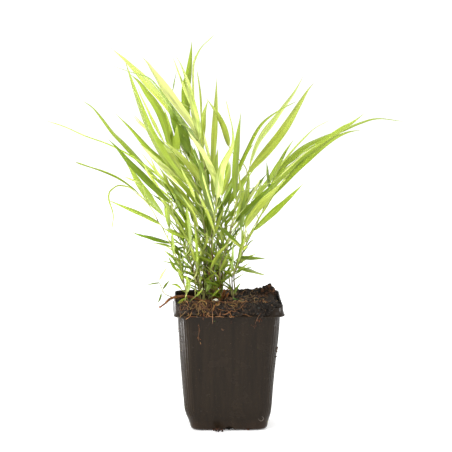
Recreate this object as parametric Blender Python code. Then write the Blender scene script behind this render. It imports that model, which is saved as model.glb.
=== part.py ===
"""Young Japanese forest grass in its square nursery pot.

Units inside this file are millimetres, written to the meshes in metres.
The frame is centred under the pot: z = 0 is the face that the pot stands on,
+Z is up and the front of the pot faces -Y.

Culms and blades are laid out on a front elevation sketch.  A sketch point
(u, v) has u to the right and v downwards, and is carried into space along the
viewer's sight line until it meets the depth (y) that the stem or blade has at
that place, so each one has a drawn outline from the front and its own run
towards the front or the back.
"""
import math
import bpy
import bmesh
import numpy as np
from mathutils import Vector

MM = 0.001

# ---------------------------------------------------------------- dimensions
RIM_HALF = 45.0          # half the outer width of the pot's rim
POT_H = 103.0            # height of the pot
WALL_T = 1.0             # wall thickness
FLOOR_T = 1.2            # thickness of the pot's floor
SOIL_GAP = 0.4           # clearance between the root ball and the pot
BLADE_T = 0.55           # thickness of a blade at its midrib
STATIONS = 12            # cross sections along a blade
CORNER_SEG = 5           # segments round each corner of the pot
LEAF_GAP = 0.45          # clearance between a culm and a blade that leaves it

# outer profile of the pot: (half width, z, corner radius)
POT_OUT = [(28.6, 0.0, 6.4), (30.3, 0.7, 7.4), (31.4, 2.4, 7.8), (31.8, 4.5, 8.0),
           (32.4, 8.0, 8.0), (33.8, 13.0, 8.2), (35.4, 21.0, 8.4), (36.4, 29.0, 8.6),
           (39.0, 62.0, 9.0), (41.4, 94.2, 9.4), (41.8, 94.6, 9.6), (44.5, 94.8, 10.0),
           (45.0, 95.4, 10.2), (44.7, 96.4, 10.2), (43.9, 97.4, 10.0), (43.6, 102.2, 10.0),
           (43.2, 103.0, 9.8)]
POT_IN = [(42.7, 103.0, 9.4), (42.4, 102.2, 9.2), (42.6, 97.0, 9.2), (42.0, 96.2, 9.0),
          (40.6, 95.8, 8.8), (40.2, 94.0, 8.6), (37.9, 62.0, 8.2), (35.3, 29.0, 7.8),
          (34.3, 21.0, 7.6), (32.7, 13.0, 7.4), (31.3, 8.0, 7.2), (30.7, 4.5, 7.2),
          (29.6, 1.8, 6.8), (27.8, FLOOR_T, 6.0)]

# viewer of the front elevation sketch
SK_AZ, SK_EL, SK_DIST, SK_SCALE = -2.05, 7.36, 2200.0, 2690.0
SK_CENTRE = (-1.58, 0.0, 163.7)
SK_MID = 226.0


def _viewer():
    a, e = math.radians(SK_AZ), math.radians(SK_EL)
    back = np.array([math.sin(a) * math.cos(e), -math.cos(a) * math.cos(e), math.sin(e)])
    right = np.cross(-back, [0.0, 0.0, 1.0])
    right /= np.linalg.norm(right)
    up = np.cross(right, -back)
    return np.array(SK_CENTRE) + SK_DIST * back, right, up, -back


EYE, RIGHT, UP, FWD = _viewer()


def at(u, v, depth):
    """Sketch point (u, v) at a depth y, in millimetres."""
    d = FWD + RIGHT * ((u - SK_MID) / SK_SCALE) - UP * ((v - SK_MID) / SK_SCALE)
    t = (depth - EYE[1]) / d[1]
    return EYE + d * t


# ------------------------------------------------------------------- helpers
for ob in list(bpy.context.scene.objects):
    bpy.data.objects.remove(ob, do_unlink=True)


def material(name, rgb, rough, sheen=0.0):
    m = bpy.data.materials.new(name)
    m.use_nodes = True
    b = m.node_tree.nodes["Principled BSDF"]
    b.inputs["Base Color"].default_value = (*rgb, 1.0)
    b.inputs["Roughness"].default_value = rough
    b.inputs["Metallic"].default_value = 0.0
    m.diffuse_color = (*rgb, 1.0)
    return m


def add(name, verts, faces, mat, smooth=True):
    me = bpy.data.meshes.new(name)
    me.from_pydata([tuple(float(c) * MM for c in p) for p in verts], [], faces)
    bm = bmesh.new()
    bm.from_mesh(me)
    bmesh.ops.recalc_face_normals(bm, faces=bm.faces)
    bm.to_mesh(me)
    bm.free()
    me.materials.append(mat)
    if smooth:
        me.shade_smooth()
        me.set_sharp_from_angle(angle=math.radians(40))
    ob = bpy.data.objects.new(name, me)
    bpy.context.scene.collection.objects.link(ob)
    return ob


def rounded_square(h, r, seg=CORNER_SEG):
    """Corner-rounded square of half width h, counter-clockwise from +X."""
    pts = []
    for k, (sx, sy) in enumerate(((1, 1), (-1, 1), (-1, -1), (1, -1))):
        for i in range(seg + 1):
            a = math.radians(90 * k + 90 * i / seg)
            pts.append((sx * (h - r) + r * math.cos(a), sy * (h - r) + r * math.sin(a)))
    return pts


def loft(loops, cap_start=True, cap_end=True):
    """Skin a stack of equal point loops."""
    n = len(loops[0])
    verts = [p for lp in loops for p in lp]
    faces = []
    for k in range(len(loops) - 1):
        for i in range(n):
            j = (i + 1) % n
            faces.append((k * n + i, k * n + j, (k + 1) * n + j, (k + 1) * n + i))
    if cap_start:
        faces.append(tuple(range(n - 1, -1, -1)))
    if cap_end:
        b = (len(loops) - 1) * n
        faces.append(tuple(range(b, b + n)))
    return verts, faces


def spline(ctrl, n):
    """n points at equal steps along a smooth curve through the control points."""
    c = np.array(ctrl, float)
    if len(c) == 2:
        fine = c[0] + (c[1] - c[0]) * np.linspace(0, 1, 60)[:, None]
    else:
        ext = np.vstack([2 * c[0] - c[1], c, 2 * c[-1] - c[-2]])
        out = []
        for k in range(1, len(ext) - 2):
            p0, p1, p2, p3 = ext[k - 1:k + 3]
            for t in np.linspace(0, 1, 16, endpoint=False):
                out.append(0.5 * ((2 * p1) + (-p0 + p2) * t + (2 * p0 - 5 * p1 + 4 * p2 - p3) * t * t
                                  + (-p0 + 3 * p1 - 3 * p2 + p3) * t ** 3))
        out.append(ext[-2])
        fine = np.array(out)
    seg = np.linalg.norm(np.diff(fine, axis=0), axis=1)
    s = np.concatenate([[0], np.cumsum(seg)])
    q = np.linspace(0, s[-1], n)
    return np.stack([np.interp(q, s, fine[:, i]) for i in range(3)], 1)


def tangents(p):
    t = np.gradient(p, axis=0)
    return t / np.linalg.norm(t, axis=1)[:, None]


def tube(path, radii, sides):
    """Closed tube with tapered ends, without twist."""
    p = np.array(path)
    t = tangents(p)
    ref = np.array([0.0, 1.0, 0.0]) if abs(t[0][1]) < 0.8 else np.array([1.0, 0.0, 0.0])
    loops = []
    a = np.cross(t[0], ref)
    for k in range(len(p)):
        a = a - t[k] * np.dot(a, t[k])
        a /= np.linalg.norm(a)
        b = np.cross(t[k], a)
        loops.append([p[k] + radii[k] * (math.cos(w) * a + math.sin(w) * b)
                      for w in (2 * math.pi * i / sides for i in range(sides))])
    return loft(loops)


def blade_profile(s, peak):
    """Half-width factor along a blade: narrow foot, full belly, long drawn tip."""
    if s < peak:
        return 0.16 + 0.84 * math.sin(math.pi / 2 * s / peak) ** 0.9
    t = (s - peak) / (1 - peak)
    return max(0.03, (1 - t) * (1 + 0.8 * t))


def blade(path, width, true_width, side, peak, twist=0.0):
    """Thin keeled blade: width is seen from the front, true_width is along the blade's face."""
    p = np.array(path)
    t = tangents(p)
    roll0 = math.acos(min(1.0, width / true_width)) * side
    n = len(p)
    loops = []
    for k in range(n):
        s = k / (n - 1)
        sight = p[k] - EYE
        sight /= np.linalg.norm(sight)
        w = np.cross(t[k], sight)
        w /= np.linalg.norm(w)
        nrm = np.cross(w, t[k])
        roll = roll0 + math.radians(twist) * (s - 0.3)
        wd = w * math.cos(roll) + nrm * math.sin(roll)
        nd = np.cross(wd, t[k])
        h = 0.5 * true_width * blade_profile(s, peak)
        th = BLADE_T * 0.5 * (0.35 + 0.65 * (1 - s))
        keel = -0.10 * h
        loops.append([p[k] - wd * h, p[k] + nd * (keel - th), p[k] + wd * h, p[k] + nd * (keel + th)])
    return loft(loops)


# ----------------------------------------------------------------- materials
M_POT = material("pot_plastic", (0.041, 0.031, 0.025), 0.38)
M_SOIL = material("peat", (0.022, 0.014, 0.009), 0.95)
M_ROOT = material("root", (0.19, 0.07, 0.025), 0.8)
M_CROWN = material("dead_sheath", (0.16, 0.09, 0.035), 0.75)
M_CULM = material("culm", (0.17, 0.20, 0.05), 0.5)
M_CULM_D = material("culm_purple", (0.09, 0.06, 0.05), 0.5)
M_GRAIN = material("perlite", (0.62, 0.60, 0.52), 0.8)
M_LEAF = {
    "lime": material("leaf_lime", (0.72, 0.86, 0.16), 0.45),
    "pale": material("leaf_pale", (0.84, 0.88, 0.30), 0.45),
    "light": material("leaf_light", (0.45, 0.66, 0.07), 0.45),
    "mid": material("leaf_mid", (0.30, 0.48, 0.035), 0.45),
    "dark": material("leaf_dark", (0.12, 0.24, 0.02), 0.45),
    "grey": material("leaf_grey", (0.27, 0.40, 0.10), 0.45),
}

# ----------------------------------------------------------------------- pot
out = [[(x, y, z) for x, y in rounded_square(h, r)] for h, z, r in POT_OUT]
inn = [[(x, y, z) for x, y in rounded_square(h, r)] for h, z, r in POT_IN]
pv, pf = loft(out + inn)
pot = add("pot", pv, pf, M_POT)


def cutter(name, verts, faces):
    ob = add(name, verts, faces, M_POT, smooth=False)
    ob.hide_render = True
    ob.display_type = "WIRE"
    return ob


# an arched notch where each side meets the floor, and four round drain holes
NOTCH_W, NOTCH_H, NOTCH_IN = 3.2, 3.4, 7.0
cv, cf = [], []
for k in range(4):
    a = math.pi / 2 * k
    prof = [(-NOTCH_W, -1.0), (NOTCH_W, -1.0), (NOTCH_W, NOTCH_H * 0.45), (NOTCH_W * 0.6, NOTCH_H * 0.88),
            (0.0, NOTCH_H), (-NOTCH_W * 0.6, NOTCH_H * 0.88), (-NOTCH_W, NOTCH_H * 0.45)]
    lps = [[(x, y, z) for x, z in prof] for y in (-33.0, -30.7 + NOTCH_IN)]
    v, f = loft(lps)
    base = len(cv)
    cv += [(x * math.cos(a) - y * math.sin(a), x * math.sin(a) + y * math.cos(a), z) for x, y, z in v]
    cf += [tuple(i + base for i in q) for q in f]
for sx in (-1, 1):
    for sy in (-1, 1):
        ring = [(3.0 * math.cos(2 * math.pi * i / 12), 3.0 * math.sin(2 * math.pi * i / 12)) for i in range(12)]
        v, f = loft([[(15.5 * sx + x, 15.5 * sy + y, z) for x, y in ring] for z in (-1.0, 3.0)])
        base = len(cv)
        cv += v
        cf += [tuple(i + base for i in q) for q in f]
cut = cutter("drain_cutter", cv, cf)
mod = pot.modifiers.new("drains", "BOOLEAN")
mod.operation = "DIFFERENCE"
mod.object = cut
mod.solver = "EXACT"

# ---------------------------------------------------------------- root ball
CROWN = (-12.0, 16.0)       # centre of the crown
CROWN_R = (13.0, 10.0)
CROWN_H = 5.5


def soil_z(x, y):
    """Height of the peat's top face."""
    z = 99.2
    z += 3.6 * math.exp(-((x - 18) ** 2 / 700.0 + (y - 4) ** 2 / 900.0))
    z += 5.2 * math.exp(-((x - 35.0) ** 2 + (y - 28) ** 2) / 34.0)
    z += 2.6 * math.exp(-((y + 37) ** 2) / 60.0)
    z -= 3.6 * math.exp(-((x + 31) ** 2 / 330.0 + (y - 24) ** 2 / 420.0))
    z += 0.5 * math.sin(0.3 * x + 1.3) * math.cos(0.27 * y - 0.4)
    edge = max(abs(x), abs(y))
    if edge > 38:
        z -= (edge - 38) * 0.25
    return max(z, 97.8)


loops = []
SOIL_SEG = 7
for h, z, r in reversed(POT_IN[4:]):
    zz = FLOOR_T + SOIL_GAP if z == FLOOR_T else z
    if z == 95.8:
        continue
    loops.append([(x, y, zz) for x, y in rounded_square(h - SOIL_GAP, r - SOIL_GAP, SOIL_SEG)])
loops.append([(x, y, 96.4) for x, y in rounded_square(40.0, 8.3, SOIL_SEG)])
loops.append([(x, y, 97.2) for x, y in rounded_square(41.5, 8.6, SOIL_SEG)])
for k, f in enumerate((1.0, 0.93, 0.84, 0.73, 0.61, 0.48, 0.34, 0.2, 0.08)):
    lp = []
    for x, y in rounded_square(41.9, 8.8, SOIL_SEG):
        z = soil_z(x * f, y * f)
        lp.append((x * f, y * f, z if k else min(z, 99.5)))
    loops.append(lp)
sv, sf = loft(loops)
add("root_ball", sv, sf, M_SOIL)


def crown_z(x, y):
    q = ((x - CROWN[0]) / CROWN_R[0]) ** 2 + ((y - CROWN[1]) / CROWN_R[1]) ** 2
    return soil_z(CROWN[0], CROWN[1]) + 0.9 + CROWN_H * math.sqrt(max(0.0, 1 - q)) if q < 1 else -1.0


def top_z(x, y):
    return max(soil_z(x, y), crown_z(x, y))


# crown: the low clump of short old bases that the culms rise from
loops = []
NC = 20
for k, f in enumerate((0.55, 0.9, 1.0, 0.93, 0.78, 0.55, 0.28, 0.08)):
    lp = []
    for i in range(NC):
        a = 2 * math.pi * i / NC
        x, y = CROWN[0] + CROWN_R[0] * f * math.cos(a), CROWN[1] + CROWN_R[1] * f * math.sin(a)
        if k < 2:
            z = soil_z(x, y) + 1.0
        elif k == 2:
            z = soil_z(x, y) + 1.4
        else:
            z = max(crown_z(x, y), soil_z(x, y) + 1.8)
        lp.append((x, y, z))
    loops.append(lp)
cv, cf = loft(loops)
add("crown", cv, cf, M_CROWN)

# ------------------------------------------------------------ roots and grit
# pad of orange roots that lies on the peat and over the front rim
pad_u = np.linspace(-36.5, 2.5, 14)
loops = []
for x in pad_u:
    e = (x + 17.0) / 19.6
    w = math.sqrt(max(0.05, 1 - e * e))
    y_back = -45.6 + 28.0 * w
    top, bot = [], []
    for y in np.linspace(y_back, -38.0, 5):
        t = (y - y_back) / (-38.0 - y_back)
        th = 0.4 + 1.9 * w * math.sin(math.pi * (0.12 + 0.55 * t))
        bot.append((x, y, soil_z(x, y) + 1.2))
        top.append((x, y, soil_z(x, y) + 1.2 + th))
    z_rim = POT_H + 0.5
    bot += [(x, -41.6, z_rim), (x, -44.2, z_rim), (x, -45.6, 102.3 - 0.5 * w), (x, -45.8, 103.2 - 5.6 * w)]
    top += [(x, -41.6, z_rim + 1.2 + 1.5 * w), (x, -44.4, z_rim + 0.9 + 1.1 * w), (x, -46.2 - 0.7 * w, 103.0),
            (x, -46.1 - 0.8 * w, 103.0 - 5.9 * w)]
    loops.append(bot + top[::-1])
mv, mf = loft(loops)
add("root_mat", mv, mf, M_ROOT)


def on_soil(x, y, lift):
    return np.array([x, y, soil_z(x, y) + lift])


# stray woody root that leans out over the left side of the rim
root_path = spline([(-32.0, 6.0, 104.4), (-38.0, 2.0, 105.2), (-46.5, -2.5, 104.6), (-52.0, -5.0, 100.4), (-56.5, -6.5, 97.4)], 9)
rv, rf = tube(root_path, [1.1, 1.3, 1.4, 1.4, 1.3, 1.2, 1.1, 1.0, 0.8], 6)
add("stray_root", rv, rf, M_ROOT)

# one grain of perlite
gv, gf = [], []
for k, (rr, dz) in enumerate(((0.9, 0.0), (2.2, 0.9), (2.5, 2.0), (1.9, 3.2), (0.7, 3.9))):
    gv.append([(-10.5 + rr * (1 + 0.18 * math.sin(3 * a + k)) * math.cos(a), -4.0 + rr * 0.9 * math.sin(a), soil_z(-10.5, -4.0) + 0.6 + dz)
               for a in (2 * math.pi * i / 9 for i in range(9))])
v, f = loft(gv)
add("perlite_grain", v, f, M_GRAIN)

# --------------------------------------------------------------------- culms
# name: (radius, foot x, foot y, top depth, sketch points from low to high, dark)
CULMS = {
    "culm_01": (0.54, -33.0, 0.0, -34, [(181, 268), (178, 260), (174, 252), (170, 243), (166, 235), (162, 227), (158, 221), (155, 215), (151, 208), (146, 201), (140, 195)], 0),
    "culm_02": (0.58, -22.5, 13.0, 26, [(192, 266), (188, 258), (184, 250), (180, 241), (176, 233), (172, 225), (168, 218), (164.5, 216.5)], 0),
    "culm_03": (0.58, -20.0, 11.0, -22, [(194, 272), (190, 262), (187, 250), (183, 240), (179, 230), (175, 220), (171.5, 205)], 0),
    "culm_04": (0.61, -17.0, 17.0, 34, [(204, 260), (200, 240), (197, 222), (194, 207), (192.5, 194)], 0),
    "culm_05": (0.68, -15.0, 10.0, -10, [(207, 260), (205, 235), (202, 212), (198, 192), (193, 174), (187, 158), (181, 146)], 1),
    "culm_06": (0.68, -13.0, 21.0, 48, [(210, 262), (209, 235), (206, 205), (203, 175), (199, 150), (196, 128), (195, 110)], 0),
    "culm_07": (0.72, -12.0, 15.0, 12, [(212, 262), (211, 235), (209, 205), (206, 175), (202, 155), (199.5, 141)], 0),
    "culm_08": (0.58, -11.0, 9.5, -26, [(212, 258), (212.5, 242), (214, 230), (215, 214), (217.3, 199)], 0),
    "culm_09": (0.61, -8.0, 19.0, 40, [(216, 262), (217, 240), (217, 215), (215, 195), (213.2, 180)], 0),
    "culm_10": (0.65, -6.0, 12.0, 5, [(219, 264), (221, 245), (222, 225), (222.5, 212), (223, 203)], 1),
    "culm_11": (0.65, -4.0, 22.0, 30, [(222, 262), (225, 250), (228, 240), (230, 232), (232, 225), (234, 217), (236, 208), (239, 197), (243, 186), (247.5, 174)], 1),
    "culm_12": (0.54, -5.5, 5.5, -30, [(220, 268), (226, 250), (231, 232), (234.5, 214), (236, 201)], 1),
    "culm_13": (0.65, 4.5, 9.0, -34, [(232, 278), (235, 270), (238, 262), (241, 254), (243, 247), (246, 240), (251, 231.5)], 1),
    "culm_14": (0.65, 7.0, 17.0, 8, [(234, 276), (238, 266), (242, 255), (246, 245), (250, 237), (255, 228), (259, 219), (263, 210), (267, 201), (270, 198)], 1),
    "culm_15": (0.61, 4.0, 23.0, 62, [(229, 275), (231, 262), (233, 250), (235, 240), (238, 228), (241, 214), (244, 198), (247, 182), (250, 167)], 0),
}

# -------------------------------------------------------------------- blades
# name: (seen width, true width, side of roll, depth at foot, depth at tip,
#        belly position, twist, tone, sketch points foot to tip), widths in mm
BLADES = {
    "blade_01": (6.8, 8.6, 1, 60, 72, .34, 20, "light", [(193, 140), (185, 127), (176, 118), (168, 107), (155, 92), (147, 83), (139, 74), (132, 67), (125, 60), (118, 54), (111, 48)]),
    "blade_02": (7.4, 9.0, -1, 15, 32, .34, -20, "pale", [(198, 139), (194, 127), (189, 119), (183, 111), (177, 103), (171, 95), (165, 87), (159, 78), (153, 70), (148, 63), (142, 57)]),
    "blade_03": (4.4, 8.2, 1, 18, 36, .32, 30, "grey", [(211, 176), (209, 168), (203, 153), (195, 140), (188, 131), (178, 117), (168, 103), (158, 88), (150, 79), (143, 76), (130, 72), (113, 66)]),
    "blade_04": (6.4, 7.8, -1, -6, 6, .34, 15, "dark", [(175, 153), (169, 142), (167, 133), (164, 122), (160, 112), (154, 102), (147, 93), (139, 82), (130, 74)]),
    "blade_05": (7.6, 8.8, 1, -16, -48, .36, -15, "light", [(185, 183), (175, 170), (165, 157), (155, 140), (149, 128), (141, 108), (135, 91), (130, 76), (125, 60)]),
    "blade_06": (4.0, 6.8, 1, -10, -28, .3, 20, "lime", [(180.5, 167), (172, 156), (158, 143), (147, 130), (138, 122), (131, 112)]),
    "blade_07": (5.6, 8.0, -1, 48, 64, .33, 20, "mid", [(190, 185), (175, 172), (156, 156), (146, 146), (131, 129), (121, 119), (116, 114)]),
    "blade_08": (5.0, 7.6, 1, 36, 18, .34, -15, "pale", [(191, 192.5), (180, 184), (168, 172), (156, 160), (144, 148), (138, 142)]),
    "blade_09": (3.6, 6.4, -1, 22, 80, .35, 20, "mid", [(169, 191), (150, 172), (138, 159), (123, 143), (113, 133), (103, 120), (93, 108), (83, 101)]),
    "blade_10": (1.9, 6.6, 1, 28, 8, .3, 15, "lime", [(183, 195), (172, 187), (160, 177), (148, 168), (134, 158), (120, 150), (105, 143), (85, 136), (65, 127), (47, 121)]),
    "blade_11": (6.4, 7.8, -1, -24, -58, .36, 20, "dark", [(170.5, 203), (164, 197), (152, 185), (140, 173), (128, 161), (118, 149), (108, 139)]),
    "blade_12": (7.8, 8.8, 1, 28, 48, .36, -20, "light", [(163.5, 215.5), (153, 204), (148, 197), (139, 184), (131, 170), (126, 163)]),
    "blade_13": (2.0, 5.6, -1, -35, -74, .35, 20, "mid", [(139.3, 194.5), (134, 189), (120, 179), (105, 172), (90, 167), (75, 162)]),
    "blade_14": (4.2, 6.4, 1, -21, -26, .33, 15, "mid", [(160.5, 225), (156, 222), (142, 215), (126, 208), (110, 201), (103, 197.5)]),
    "blade_15": (1.4, 3.2, 1, -28, -84, .4, 0, "light", [(136, 193), (130, 188), (125, 186.5), (118, 186), (113, 189), (110, 192), (109, 197), (110, 203), (112, 209), (113.5, 216), (113, 222), (111.5, 231)]),
    "blade_16": (3.2, 5.4, -1, -6, -38, .35, 10, "dark", [(174, 242.5), (168, 242), (152, 238), (138, 234.5), (131, 231.5)]),
    "blade_17": (2.6, 8.0, -1, 50, 84, .3, 20, "light", [(194.5, 108), (193.5, 88), (193.5, 68), (195, 60), (201, 48), (209, 40), (214, 35)]),
    "blade_18": (7.2, 8.4, 1, 44, 76, .32, -20, "mid", [(191, 126), (186, 112), (185.5, 90), (188.5, 72), (190.5, 56), (192, 41)]),
    "blade_19": (5.8, 8.0, 1, 9, -34, .3, 20, "lime", [(199.2, 140), (198, 132), (194, 112), (190, 93), (186, 78), (181, 65), (176, 56)]),
    "blade_20": (3.4, 7.4, -1, 34, 92, .34, -20, "light", [(202.5, 149), (203, 132), (204.5, 116), (206, 108), (208.5, 99)]),
    "blade_21": (5.2, 7.6, 1, 30, 70, .3, 20, "light", [(229, 146), (224, 129), (218, 116), (211, 105), (206, 98)]),
    "blade_22": (6.6, 8.0, -1, 41, 88, .38, 10, "light", [(213, 179), (213, 168), (214, 148), (215, 128), (216, 108), (216.5, 88), (217, 77)]),
    "blade_23": (7.4, 8.6, 1, -27, -70, .16, -10, "lime", [(217.5, 198), (218.5, 188), (220, 175), (223, 165), (227, 157), (232.5, 146), (233, 136), (232, 126), (230, 118), (226, 100)]),
    "blade_24": (6.6, 8.4, -1, -14, -48, .3, 15, "grey", [(214, 218), (212, 210), (209, 200), (204, 182), (201, 170), (197, 157)]),
    "blade_25": (5.0, 7.6, 1, -18, -82, .34, 15, "pale", [(216, 190), (214, 178), (210, 168), (205, 157), (199, 147), (192, 137), (186, 128)]),
    "blade_26": (5.4, 7.8, -1, -32, -88, .34, 10, "mid", [(236, 199.5), (235.5, 176), (236.5, 156), (238, 136), (240, 120), (241, 112)]),
    "blade_27": (7.6, 9.0, 1, 31, 12, .35, -15, "light", [(248, 172.5), (256, 163), (269, 148), (281, 133), (291, 118), (300, 103), (308, 90), (314, 83)]),
    "blade_28": (4.4, 7.6, -1, 63, 84, .33, 20, "lime", [(250, 165.5), (257, 146), (264, 134), (274, 121), (284, 107), (294, 93), (303, 77)]),
    "blade_29": (3.3, 4.6, 1, 6, -34, .35, 6, "mid", [(223.3, 202), (229, 186), (238, 169), (247, 150), (256, 132), (265, 120.5), (279, 110.5), (297, 101)]),
    "blade_30": (2.6, 6.4, 1, 52, 78, .3, 15, "lime", [(262, 186), (270, 177), (281, 165), (291, 152), (303, 139), (315, 128), (330, 120)]),
    "blade_31": (4.4, 6.8, -1, 40, 22, .35, 10, "mid", [(255, 199), (262, 190), (269, 181), (279, 164), (286, 151), (294, 139)]),
    "blade_32": (4.0, 6.8, 1, 20, 52, .28, 12, "dark", [(268.5, 190), (280, 170), (300, 149.5), (322, 138), (343, 130), (360, 123), (378, 118.5), (404, 121.5)]),
    "blade_33": (7.8, 9.0, -1, 12, -6, .36, -15, "light", [(267, 197), (279, 179), (300, 162), (323, 144), (342, 129), (352, 123), (365, 113)]),
    "blade_34": (5.6, 8.0, 1, 2, -42, .35, 15, "light", [(272, 196.5), (281, 186), (305, 161), (330, 141), (347, 132.5), (362, 130)]),
    "blade_35": (5.6, 8.0, -1, -8, -60, .35, 15, "dark", [(235, 222.5), (241, 218), (255, 204), (268, 190), (277, 181)]),
    "blade_36": (5.4, 7.6, 1, -35, -86, .35, 10, "mid", [(254, 230), (265, 219), (282, 204), (298, 189), (304, 183)]),
    "blade_37": (4.2, 6.6, -1, -28, -72, .34, 10, "pale", [(246.5, 227), (250, 220), (260, 206), (271, 194), (286, 179)]),
    "blade_38": (2.8, 5.0, 1, -10, -34, .3, 10, "light", [(197, 271), (196.8, 260), (196, 240), (195, 225)]),
    "blade_39": (3.4, 5.6, 1, 14, -20, .3, 10, "mid", [(235, 265.5), (247, 269.5), (261, 274), (268, 276)]),
}


def culm_path(spec):
    r, fx, fy, yt, pts, _ = spec
    foot = np.array([fx, fy, top_z(fx, fy) + 1.0])
    vs = [p[1] for p in pts]
    v0 = 296.0
    path = [foot, foot + np.array([0.0, 0.0, 1.5])]
    for (u, v) in pts:
        s = (v0 - v) / (v0 - vs[-1])
        path.append(at(u, v, fy + (yt - fy) * s))
    return path


def blade_path(spec):
    yb, yt, pts = spec[3], spec[4], spec[8]
    d = [0.0]
    for (a, b), (c, e) in zip(pts, pts[1:]):
        d.append(d[-1] + math.hypot(c - a, e - b))
    return [at(u, v, yb + (yt - yb) * (q / d[-1]) ** 1.25) for (u, v), q in zip(pts, d)]


for name, spec in CULMS.items():
    path = spline(culm_path(spec), 9)
    r = spec[0]
    rad = [r * (1.0 - 0.45 * k / 8) for k in range(9)]
    v, f = tube(path, rad, 6)
    add(name, v, f, M_CULM_D if spec[5] else M_CULM)

for name, spec in BLADES.items():
    wd, tw, side, yb, yt, peak, twist, tone, pts = spec
    path = spline(blade_path(spec), STATIONS)
    v, f = blade(path, wd, tw, side, peak, twist)
    add(name, v, f, M_LEAF[tone])
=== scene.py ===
"""Looks of the young Japanese forest grass in its nursery pot.

All lengths in the tables are millimetres; meshes are written in metres.
The blades and culms follow the same front elevation sketch and depths as the
solid model, so each fine piece lies where its solid does.
"""
import math
import random

import bmesh
import bpy
import numpy as np
from mathutils import Matrix, Vector
from mathutils import noise as mnoise


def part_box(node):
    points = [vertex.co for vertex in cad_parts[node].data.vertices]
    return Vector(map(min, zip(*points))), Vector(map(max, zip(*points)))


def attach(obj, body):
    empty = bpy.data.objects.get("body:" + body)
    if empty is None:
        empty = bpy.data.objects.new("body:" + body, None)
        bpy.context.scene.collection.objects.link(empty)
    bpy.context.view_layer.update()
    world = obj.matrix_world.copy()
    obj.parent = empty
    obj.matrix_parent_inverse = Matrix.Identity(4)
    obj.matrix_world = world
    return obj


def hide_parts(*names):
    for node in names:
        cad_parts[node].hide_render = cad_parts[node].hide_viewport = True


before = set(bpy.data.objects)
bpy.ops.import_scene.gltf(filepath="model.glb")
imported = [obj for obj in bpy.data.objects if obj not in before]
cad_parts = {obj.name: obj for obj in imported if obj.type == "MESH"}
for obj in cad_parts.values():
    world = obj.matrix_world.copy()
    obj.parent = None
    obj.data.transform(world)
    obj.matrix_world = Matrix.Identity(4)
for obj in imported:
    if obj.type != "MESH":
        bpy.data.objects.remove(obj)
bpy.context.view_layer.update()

MM = 0.001
RIM_HALF = 45.0          # half the outer width of the pot's rim
POT_H = 103.0            # height of the pot
WALL_T = 1.0             # wall thickness
FLOOR_T = 1.2            # thickness of the pot's floor
SOIL_GAP = 0.4           # clearance between the root ball and the pot
BLADE_T = 0.55           # thickness of a blade at its midrib
STATIONS = 12            # cross sections along a blade
CORNER_SEG = 5           # segments round each corner of the pot
LEAF_GAP = 0.45          # clearance between a culm and a blade that leaves it

# outer profile of the pot: (half width, z, corner radius)
POT_OUT = [(28.6, 0.0, 6.4), (30.3, 0.7, 7.4), (31.4, 2.4, 7.8), (31.8, 4.5, 8.0),
           (32.4, 8.0, 8.0), (33.8, 13.0, 8.2), (35.4, 21.0, 8.4), (36.4, 29.0, 8.6),
           (39.0, 62.0, 9.0), (41.4, 94.2, 9.4), (41.8, 94.6, 9.6), (44.5, 94.8, 10.0),
           (45.0, 95.4, 10.2), (44.7, 96.4, 10.2), (43.9, 97.4, 10.0), (43.6, 102.2, 10.0),
           (43.2, 103.0, 9.8)]
POT_IN = [(42.7, 103.0, 9.4), (42.4, 102.2, 9.2), (42.6, 97.0, 9.2), (42.0, 96.2, 9.0),
          (40.6, 95.8, 8.8), (40.2, 94.0, 8.6), (37.9, 62.0, 8.2), (35.3, 29.0, 7.8),
          (34.3, 21.0, 7.6), (32.7, 13.0, 7.4), (31.3, 8.0, 7.2), (30.7, 4.5, 7.2),
          (29.6, 1.8, 6.8), (27.8, FLOOR_T, 6.0)]

# viewer of the front elevation sketch
SK_AZ, SK_EL, SK_DIST, SK_SCALE = -2.05, 7.36, 2200.0, 2690.0
SK_CENTRE = (-1.58, 0.0, 163.7)
SK_MID = 226.0


def _viewer():
    a, e = math.radians(SK_AZ), math.radians(SK_EL)
    back = np.array([math.sin(a) * math.cos(e), -math.cos(a) * math.cos(e), math.sin(e)])
    right = np.cross(-back, [0.0, 0.0, 1.0])
    right /= np.linalg.norm(right)
    up = np.cross(right, -back)
    return np.array(SK_CENTRE) + SK_DIST * back, right, up, -back


EYE, RIGHT, UP, FWD = _viewer()


def at(u, v, depth):
    """Sketch point (u, v) at a depth y, in millimetres."""
    d = FWD + RIGHT * ((u - SK_MID) / SK_SCALE) - UP * ((v - SK_MID) / SK_SCALE)
    t = (depth - EYE[1]) / d[1]
    return EYE + d * t


def rounded_square(h, r, seg=CORNER_SEG):
    """Corner-rounded square of half width h, counter-clockwise from +X."""
    pts = []
    for k, (sx, sy) in enumerate(((1, 1), (-1, 1), (-1, -1), (1, -1))):
        for i in range(seg + 1):
            a = math.radians(90 * k + 90 * i / seg)
            pts.append((sx * (h - r) + r * math.cos(a), sy * (h - r) + r * math.sin(a)))
    return pts


def loft(loops, cap_start=True, cap_end=True):
    """Skin a stack of equal point loops."""
    n = len(loops[0])
    verts = [p for lp in loops for p in lp]
    faces = []
    for k in range(len(loops) - 1):
        for i in range(n):
            j = (i + 1) % n
            faces.append((k * n + i, k * n + j, (k + 1) * n + j, (k + 1) * n + i))
    if cap_start:
        faces.append(tuple(range(n - 1, -1, -1)))
    if cap_end:
        b = (len(loops) - 1) * n
        faces.append(tuple(range(b, b + n)))
    return verts, faces


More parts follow.
